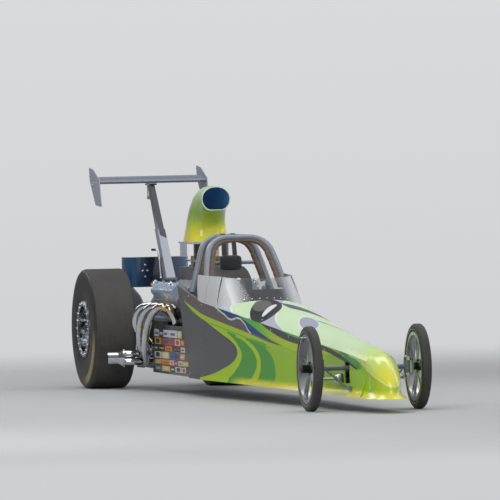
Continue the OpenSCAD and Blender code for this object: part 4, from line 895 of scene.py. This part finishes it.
for side in (-1, 1):
    for z0, z1 in zip(patch_rows, patch_rows[1:]):
        x, last = patch_from + chance.uniform(0, 0.05), patch_to - patch_slope * (z1 - patch_rows[0])
        while x < last - least_w:
            wide = min(chance.uniform(0.12, 0.30), last - x)
            base, mark = chance.sample(patch_colours, 2)
            if chance.random() > 0.04:
                high = z1 - z0 - patch_gap
                film(side, x, x + wide, z0, z0 + high, 0.0, patch_cut, base)
                inset, is_bar = wide * chance.uniform(0.12, 0.25), chance.random() < 0.6
                low, top, cut = (0.30, 0.62, bar_cut) if is_bar else (0.15, 0.85, high * 0.30)
                film(side, x + inset, x + wide - inset, z0 + high * low, z0 + high * top, mark_lift, cut, mark)
            x += wide + patch_gap
patches = mesh_object("panel_patches", points, faces)
tint = patches.data.color_attributes.new("tint", "FLOAT_COLOR", "CORNER")
for polygon, colour in zip(patches.data.polygons, tints):
    for corner in polygon.loop_indices:
        tint.data[corner].color = (*colour, 1)


def patch_design(tree):
    return add(tree, "ShaderNodeVertexColor", layer_name="tint").outputs[0]


patches.data.materials.append(paint("patch_film", patch_design, gloss=0.3, coat=0.1))
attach(patches, "chassis")

# Cowl sides: pale painted sheet on both sides of the cockpit, screwed to the frame beside the front hoop.
# One dark seam runs across each of them.
cowl_pale, seam_dark, seam_x = (0.66, 0.675, 0.70), (0.12, 0.13, 0.14), (2.742, 2.746)


def cowl_design(tree):
    return over(band(axes(tree)[0], *seam_x, 0.0015), cowl_pale, seam_dark)


dress(["cowl_sides"], paint("cowl_paint", cowl_design, gloss=0.30, ripple=0.005, coat=0.2, flake=0.03), smooth=True)

# Quarter-turn fasteners: domed zinc-plated heads along both edges of the side panels.
# Each one sits where its line across the car meets the panel.
quarter_turn = (0.0065, 0.0022)
fastener_x = [2.25 + 0.42 * i for i in range(11)]
top_edge = [(1.86, 0.735), (2.65, 0.632), (6.58, 0.312)]
low_edge = [(1.86, 0.158), (3.1, 0.148), (6.58, 0.122)]


def along_line(x, line):
    """Height of a line of points at a place."""
    for (x0, z0), (x1, z1) in zip(line, line[1:]):
        if x <= x1:
            return z0 + (z1 - z0) * (x - x0) / (x1 - x0)
    return line[-1][1]


heads = []
for side, way in ((-1, "right"), (1, "left")):
    for x in fastener_x:
        for line in (top_edge, low_edge):
            place, normal = on_surface("side_panel_" + way, at(x, side, along_line(x, line)), (0, -side, 0))
            if place:
                heads.append(rivet(place, normal, *quarter_turn))
piece("panel_fasteners", heads, zinc, "chassis")

# Hood and nose: moulded covers from the windscreen to the tip, silver with pale green shapes outlined in white.
# They sit on the side panels with quarter-turn fasteners; the nose turns lime and then yellow at its lip.
hood_silver, pearl_green, spot_blue = (0.44, 0.465, 0.540), (0.64, 0.80, 0.54), (0.36, 0.38, 0.47)
nose_lime, nose_line = (0.56, 0.70, 0.03), (0.80, 0.84, 0.30)
# Front shape: its rear edge, as a place across the car and along it
front_shape = [(-0.26, 5.10), (-0.205, 4.666), (-0.187, 4.425), (-0.159, 4.246), (-0.101, 4.042), (0.003, 3.715),
               (0.143, 3.30), (0.26, 3.20)]
# Far stripes: rear and front edges of the broad one, middle of the thin one, as places across and along
broad_rear = [(0.0, 3.46), (0.081, 3.53), (0.132, 3.60), (0.26, 3.80)]
broad_front = [(0.0, 3.70), (0.024, 3.775), (0.062, 3.884), (0.134, 4.029), (0.26, 4.35)]
thin_middle = [(0.0, 4.36), (0.029, 4.479), (0.079, 4.713), (0.125, 4.963), (0.20, 5.40)]
stripe_blue = (0.055, 0.075, 0.125)
oval_grey, oval_dark, oval_white = (0.120, 0.114, 0.108), (0.012, 0.013, 0.015), (0.74, 0.77, 0.80)
# Ovals: middle along and across, half length, half width, and slant from the car's length
rear_oval = ((3.44, -0.190), 0.34, 0.085, -0.10)
spot_oval = ((4.68, -0.036), 0.33, 0.062, -0.17)
pod_oval = ((3.70, -0.106), 0.43, 0.108, -0.257)
core_oval = ((3.545, -0.096), 0.235, 0.066, -0.22)
glint_oval = ((3.775, -0.100), 0.215, 0.025, -0.434)
# Fasteners: place along and across on the hood, place along and height on the nose
hood_heads = [(3.40, 0.255), (4.05, 0.215), (4.75, 0.172), (5.45, 0.130), (6.15, 0.090), (6.46, 0.072)]
nose_heads, nose_head = [(6.62, 0.150), (6.70, 0.146), (6.78, 0.142)], (0.0060, 0.0022)


def oval(x, y, centre, half_length, half_width, turn):
    """Distance of a point from an oval's middle, 1 at its edge."""
    dx, dy = minus(x, centre[0]), minus(y, centre[1])
    along = plus(times(dx, math.cos(turn)), times(dy, math.sin(turn)))
    across = minus(times(dy, math.cos(turn)), times(dx, math.sin(turn)))
    return span(work("DIVIDE", along, half_length), work("DIVIDE", across, half_width))


def hood_design(tree):
    x, y, _ = axes(tree)
    pearl = over(noise(tree, 6.0), hood_green, pearl_green)
    gap = edge_of(y, front_shape)
    colour = over(past(x, gap, -0.05, 0.008), hood_silver, off_white)
    colour = over(past(x, gap, soft=0.012), colour, pearl)
    rear = oval(x, y, *rear_oval)
    colour = over(ramp_of(rear, 1.10, 1.07), colour, off_white)
    colour = over(ramp_of(rear, 1.01, 0.98), colour, pearl)
    broad = times(past(x, edge_of(y, broad_rear), soft=0.01), past(edge_of(y, broad_front), x, soft=0.01))
    broad = times(broad, ramp_of(y, 0.030, 0.040))
    colour = over(broad, colour, stripe_blue)
    thin = work("ABSOLUTE", minus(x, edge_of(y, thin_middle)))
    thin = times(ramp_of(thin, 0.055, 0.045), ramp_of(y, 0.018, 0.024))
    colour = over(thin, colour, stripe_blue)
    spot = oval(x, y, *spot_oval)
    colour = over(ramp_of(spot, 1.14, 1.10), colour, off_white)
    colour = over(ramp_of(spot, 1.01, 0.97), colour, spot_blue)
    pod = oval(x, y, *pod_oval)
    colour = over(ramp_of(pod, 1.02, 0.99), colour, oval_dark)
    core = oval(x, y, *core_oval)
    colour = over(ramp_of(core, 1.04, 0.92), colour, oval_grey)
    glint = oval(x, y, *glint_oval)
    colour = over(ramp_of(glint, 1.06, 0.94), colour, oval_white)
    colour = over(ramp_of(x, 5.9, 6.2), colour, beak_tint(x))
    facing = parts_of(tree, "Normal")["Z"]
    return over(ramp_of(facing, -0.05, -0.2), colour, bare_inside)


dress(["hood"], paint("hood_paint", hood_design, gloss=0.32, ripple=0.01, coat=0.06, shine=0.08, flake=0.02,
                      dust=(0.3, 0.1)), smooth=True)


def nose_design(tree):
    x, _, z = axes(tree)
    under = over(ramp_of(x, 6.60, 6.95), front_lime, nose_lime)
    under = over(ramp_of(z, 0.155, 0.118), under, paint_yellow)
    line = edge_of(x, beak_low)
    colour = over(past(z, line, -0.004, 0.002), under, nose_line)
    return over(past(z, line, 0.004, 0.002), colour, beak_tint(x))


dress(["nose_cone"], paint("nose_paint", nose_design, gloss=0.24, coat=0.4, dust=(0.2, 0.12)), smooth=True)
heads = []
for side in (-1, 1):
    for x, y in hood_heads:
        heads.append(rivet(*on_surface("hood", at(x, side * y, 1.2), (0, 0, -1)), *quarter_turn))
    for x, z in nose_heads:
        heads.append(rivet(*on_surface("nose_cone", at(x, side, z), (0, -side, 0)), *nose_head))
piece("hood_fasteners", heads, zinc, "chassis")

# Windscreen: clear sheet, curved over the dash and screwed to the cowl along its foot.
# It is smoked in the middle; toward both sides, where it meets the cowl, a painted reflection of the sky makes it
# silver and opaque.
smoked, silver = (0.12, 0.125, 0.14), (0.68, 0.695, 0.72)
# Screws: places across the car, lowest height and rise toward the middle, half width of the foot, head
screen_screws = [-0.15, -0.10, -0.05, 0.0, 0.05, 0.10, 0.15]
screw_z, screw_rise, foot_half, screw_head = 0.655, 0.03, 0.28, (0.0045, 0.002)
glass, tree, shader = new_material("smoked_screen_with_reflection")
# Painted reflection: toward both sides the sheet turns silver and opaque, standing for the sky it reflects
painted_reflection = ramp_of(work("ABSOLUTE", axes(tree)[1]), 0.09, 0.25)
feed(shader, {"Base Color": over(painted_reflection, smoked, silver), "Alpha": graded(painted_reflection, 0.28, 0.97),
              "Roughness": graded(noise(tree, 30.0, 6.0, 0.7), 0.04, 0.20), "Coat Weight": 0.3})
dress(["windscreen"], glass, smooth=True)
heads = []
for y in screen_screws:
    start = at(4.0, y, screw_z + screw_rise * (1 - (y / foot_half) ** 2))
    place, normal = on_surface("windscreen", start, (-1, 0, 0))
    if place:
        heads.append(rivet(place, normal, *screw_head))
piece("screen_screws", heads, zinc, "chassis")

# Cockpit: moulded seat shell and dash in dark sheet, steering wheel, and sewn cushions on the seat and its head rest.
# Cushions start from thin slabs, swollen by a cloth simulation and then drawn in along their sewn channels.
dress(["seat", "head_pad", "steering_wheel", "dash"], black_steel)
cushion_black, cushion_worn = (0.026, 0.027, 0.030), (0.050, 0.051, 0.054)
voxel, swell_force, frames = 0.006, 4.0, 20
pan_line = ((2.170, 0.173), (2.481, 0.1985))
back_line = ((2.170, 0.173), (2.075, 0.559))
top_line = ((2.075, 0.559), (2.040, 0.788))
# Cushions: line of the seat it lies on, its middle along that line, half length, half width, thickness, channels
seat_pads = {"seat_pad": (pan_line, 0.175, 0.135, 0.148, 0.026, 5),
             "back_pad": (back_line, 0.220, 0.165, 0.148, 0.026, 6),
             "shoulder_pad": (top_line, 0.118, 0.090, 0.130, 0.020, 3)}
pad_off, pad_cap = 0.007, 0.008
channel_depth, channel_w = 0.005, 0.0075
head_middle, head_half, head_t, head_cap = (2.172, 0.0, 0.906), (0.052, 0.078), 0.022, 0.005

fabric, tree, shader = new_material("cushion_fabric")
place = add(tree, "ShaderNodeTexCoord").outputs["Object"]
warp = add(tree, "ShaderNodeTexWave", {"Vector": place, "Scale": 260.0}, bands_direction="Y").outputs[1]
weft = add(tree, "ShaderNodeTexWave", {"Vector": place, "Scale": 260.0}, bands_direction="DIAGONAL").outputs[1]
feed(shader, {"Base Color": over(noise(tree, 16.0, 6.0, place=place), cushion_black, cushion_worn),
              "Normal": bump(times(warp, weft), 0.35, 0.0006), "Roughness": 0.78, "Sheen Weight": 0.4})


def slab(middle, along, across, up, half_l, half_w, thick):
    """Points and faces of a thin slab with round corners."""
    turns = [2 * math.pi * k / 64 for k in range(64)]
    outline = [tuple(math.copysign(abs(part) ** 0.4, part) for part in (math.cos(t), math.sin(t))) for t in turns]
    steps = [(-0.5, 0.93), (-0.3, 0.985), (0.0, 1.0), (0.3, 0.985), (0.5, 0.93)]
    return loft([[middle + along * a * half_l * grow + across * b * half_w * grow + up * thick * h
                  for a, b in outline] for h, grow in steps])


def cushion(name, shape, cap, sew):
    """Cushion: the shape remeshed and swollen by cloth, each point moved by no more than the cap, then sewn."""
    start = mesh_object(name + "_start", *shape)
    remesh = start.modifiers.new("remesh", "REMESH")
    remesh.mode, remesh.voxel_size = "VOXEL", voxel
    graph = bpy.context.evaluated_depsgraph_get()
    mesh = bpy.data.meshes.new_from_object(start.evaluated_get(graph))
    bpy.data.objects.remove(start)
    made = bpy.data.objects.new(name, mesh)
    bpy.context.collection.objects.link(made)
    rest = [v.co.copy() for v in mesh.vertices]
    cloth = made.modifiers.new("cloth", "CLOTH")
    cloth.settings.use_pressure = True
    cloth.settings.uniform_pressure_force = swell_force
    cloth.settings.effector_weights.gravity = 0
    for number in range(1, frames + 1):
        bpy.context.scene.frame_set(number)
    graph = bpy.context.evaluated_depsgraph_get()
    swollen = [v.co.copy() for v in made.evaluated_get(graph).data.vertices]
    made.modifiers.clear()
    bpy.context.scene.frame_set(1)
    for vertex, before, after in zip(mesh.vertices, rest, swollen):
        move = after - before
        if move.length > cap:
            move.length = cap
        vertex.co = sew(before + move)
    mesh.shade_smooth()
    mesh.materials.clear()
    mesh.materials.append(fabric)
    smooth = made.modifiers.new("smooth", "SUBSURF")
    smooth.levels = smooth.render_levels = 1
    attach(made, "chassis")
    return made


for name, (line, centre, half_l, half_w, thick, channels) in seat_pads.items():
    foot, head = (at(x, 0, z) for x, z in line)
    along = (head - foot).normalized()
    across = Vector((0, 1, 0))
    up = along.cross(across)
    if up.x + up.z < 0:
        up = -up
    middle = foot + along * centre + up * (pad_off + thick / 2)

    def sew(point, middle=middle, along=along, up=up, half_l=half_l, channels=channels):
        share = ((point - middle).dot(along) / half_l + 1) / 2 * channels
        near = abs(share - round(share)) * 2 * half_l / channels
        if (point - middle).dot(up) > 0 and 0.5 < share < channels - 0.5:
            return point - up * channel_depth * math.exp(-(near / channel_w) ** 2)
        return point

    cushion(name, slab(middle, along, across, up, half_l, half_w, thick), pad_cap, sew)
rest_pad = cushion("head_cushion", slab(at(*head_middle), Vector((0, 0, 1)), Vector((0, 1, 0)), Vector((1, 0, 0)),
                                        head_half[0], head_half[1], head_t), head_cap, lambda point: point)
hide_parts("head_pad")

# Head straps: two strips of black webbing, looped over the rear hoop and round the bar of the head cushion.
# They are drawn tight, with their ends sewn down behind both tubes.
strap_y, strap_half, strap_t = 0.036, 0.016, 0.0024
hoop_axis, hoop_r = (2.080, 1.084), 0.0205
bar_axis, bar_r = (2.1429, 0.9064), 0.012
strap_line = []
for (x, z), r, turns in ((hoop_axis, hoop_r, (200, 20)), (bar_axis, bar_r, (15, -160))):
    for k in range(17):
        turn = math.radians(turns[0] + (turns[1] - turns[0]) * k / 16)
        strap_line.append((x + (r + strap_t) * math.cos(turn), z + (r + strap_t) * math.sin(turn)))
for side, way in ((-1, "right"), (1, "left")):
    rings = []
    for k, (x, z) in enumerate(strap_line):
        before, after = strap_line[max(k - 1, 0)], strap_line[min(k + 1, len(strap_line) - 1)]
        run = Vector((after[0] - before[0], 0, after[1] - before[1])).normalized()
        off = Vector((-run.z, 0, run.x)) * strap_t / 2
        rings.append([at(x, side * strap_y + w * strap_half, z) + off * h
                      for w, h in ((-1, -1), (1, -1), (1, 1), (-1, 1))])
    strap = piece("head_strap_" + way, [loft(rings)], fabric, "chassis")

# Gauges: four round instruments let into the dash and facing the seat.
# Each has a bright turned bezel, a dark face, white marks and a white needle.
# Gauges: place across the dash, height and radius
gauges = [(-0.150, 0.668, 0.036), (0.150, 0.668, 0.036), (-0.072, 0.694, 0.026), (0.072, 0.694, 0.026)]
face_x, needle_turn = 2.905, math.radians(235)
# Marks: their number, the first one's angle and the step between them
mark_n, mark_from, mark_step = 11, -50, 28
mark_white = paint("mark_white", (0.75, 0.75, 0.72), gloss=0.5, coat=0.0)
bezels, dials, marks = [], [], []
look = Vector((-1, 0, 0))
for y, z, r in gauges:
    hub = at(face_x, y, z)
    bezels.append(turned([(r, -0.001), (r, 0.009), (r - 0.0015, 0.012), (r - 0.0035, 0.012), (r - 0.0045, 0.008),
                          (r - 0.0045, -0.001), (r, -0.001)], hub, look, 48, caps=False))
    dials.append(turned([(r - 0.004, 0.001), (r - 0.004, 0.006)], hub, look, 48))

    def stroke(turn, inner, outer, wide, hub=hub):
        """Thin bar on the dial's face, from an inner to an outer radius."""
        way, tip = Vector((0, math.cos(turn), math.sin(turn))), Vector((0, -math.sin(turn), math.cos(turn)))
        ends = [(inner, -1), (outer, -0.6), (outer, 0.6), (inner, 1)]
        return loft([[hub + look * h + way * a + tip * b * wide for a, b in ends] for h in (0.0058, 0.0070)])

    for k in range(mark_n):
        marks.append(stroke(math.radians(mark_from + mark_step * k), r * (0.62 if k % 5 else 0.52), r * 0.82, 0.0007))
    marks.append(stroke(needle_turn, -r * 0.18, r * 0.66, 0.0013))
piece("gauge_bezels", bezels, mirror, "chassis")
piece("gauge_dials", dials, black_steel, "chassis")
piece("gauge_marks", marks, mark_white, "chassis")

# Grips: rubber tape wound round both handles of the steering wheel.
# Each turn of the tape steps over the one before, and both ends are drawn in.
column_hub = at(2.720, 0, 0.690)
column_way = Vector((-0.93, 0, 0.36)).normalized()
grip_way = Vector((-column_way.z, 0, column_way.x)) * -1
grip_y, grip_half, grip_r, grip_wind, grip_rise, tape_t, grip_steps = 0.128, 0.066, 0.0150, 0.011, 0.005, 0.0012, 120
grips = []
for side in (-1, 1):
    middle = column_hub + column_way * grip_rise + Vector((0, side * grip_y, 0))
    shares = [k / grip_steps for k in range(grip_steps + 1)]
    path = [middle + grip_way * grip_half * (2 * share - 1) for share in shares]
    radii = [grip_r - tape_t * ((share * 2 * grip_half / grip_wind) % 1) for share in shares]
    radii[0] = radii[-1] = grip_r * 0.8
    grips.append(tube(path, radii, 20))
piece("wheel_grips", grips, black_steel, "steering", crease=25)

# Rack ends: bright turned cups on both ends of the steering rack.
# The tie rod passes through them with room all round.
rack_x, rack_z = 6.0, 0.207
rack_cup = [(0.030, -0.020), (0.031, -0.004), (0.029, 0.008), (0.024, 0.017), (0.019, 0.021), (0.0185, 0.019)]
cups = []
for side in (-1, 1):
    outer_y = max(abs(corner.y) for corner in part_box("rack_housing"))
    cups.append(turned(rack_cup, at(rack_x, side * outer_y, rack_z), (0, side, 0), caps=False))
piece("rack_cups", cups, mirror, "chassis")
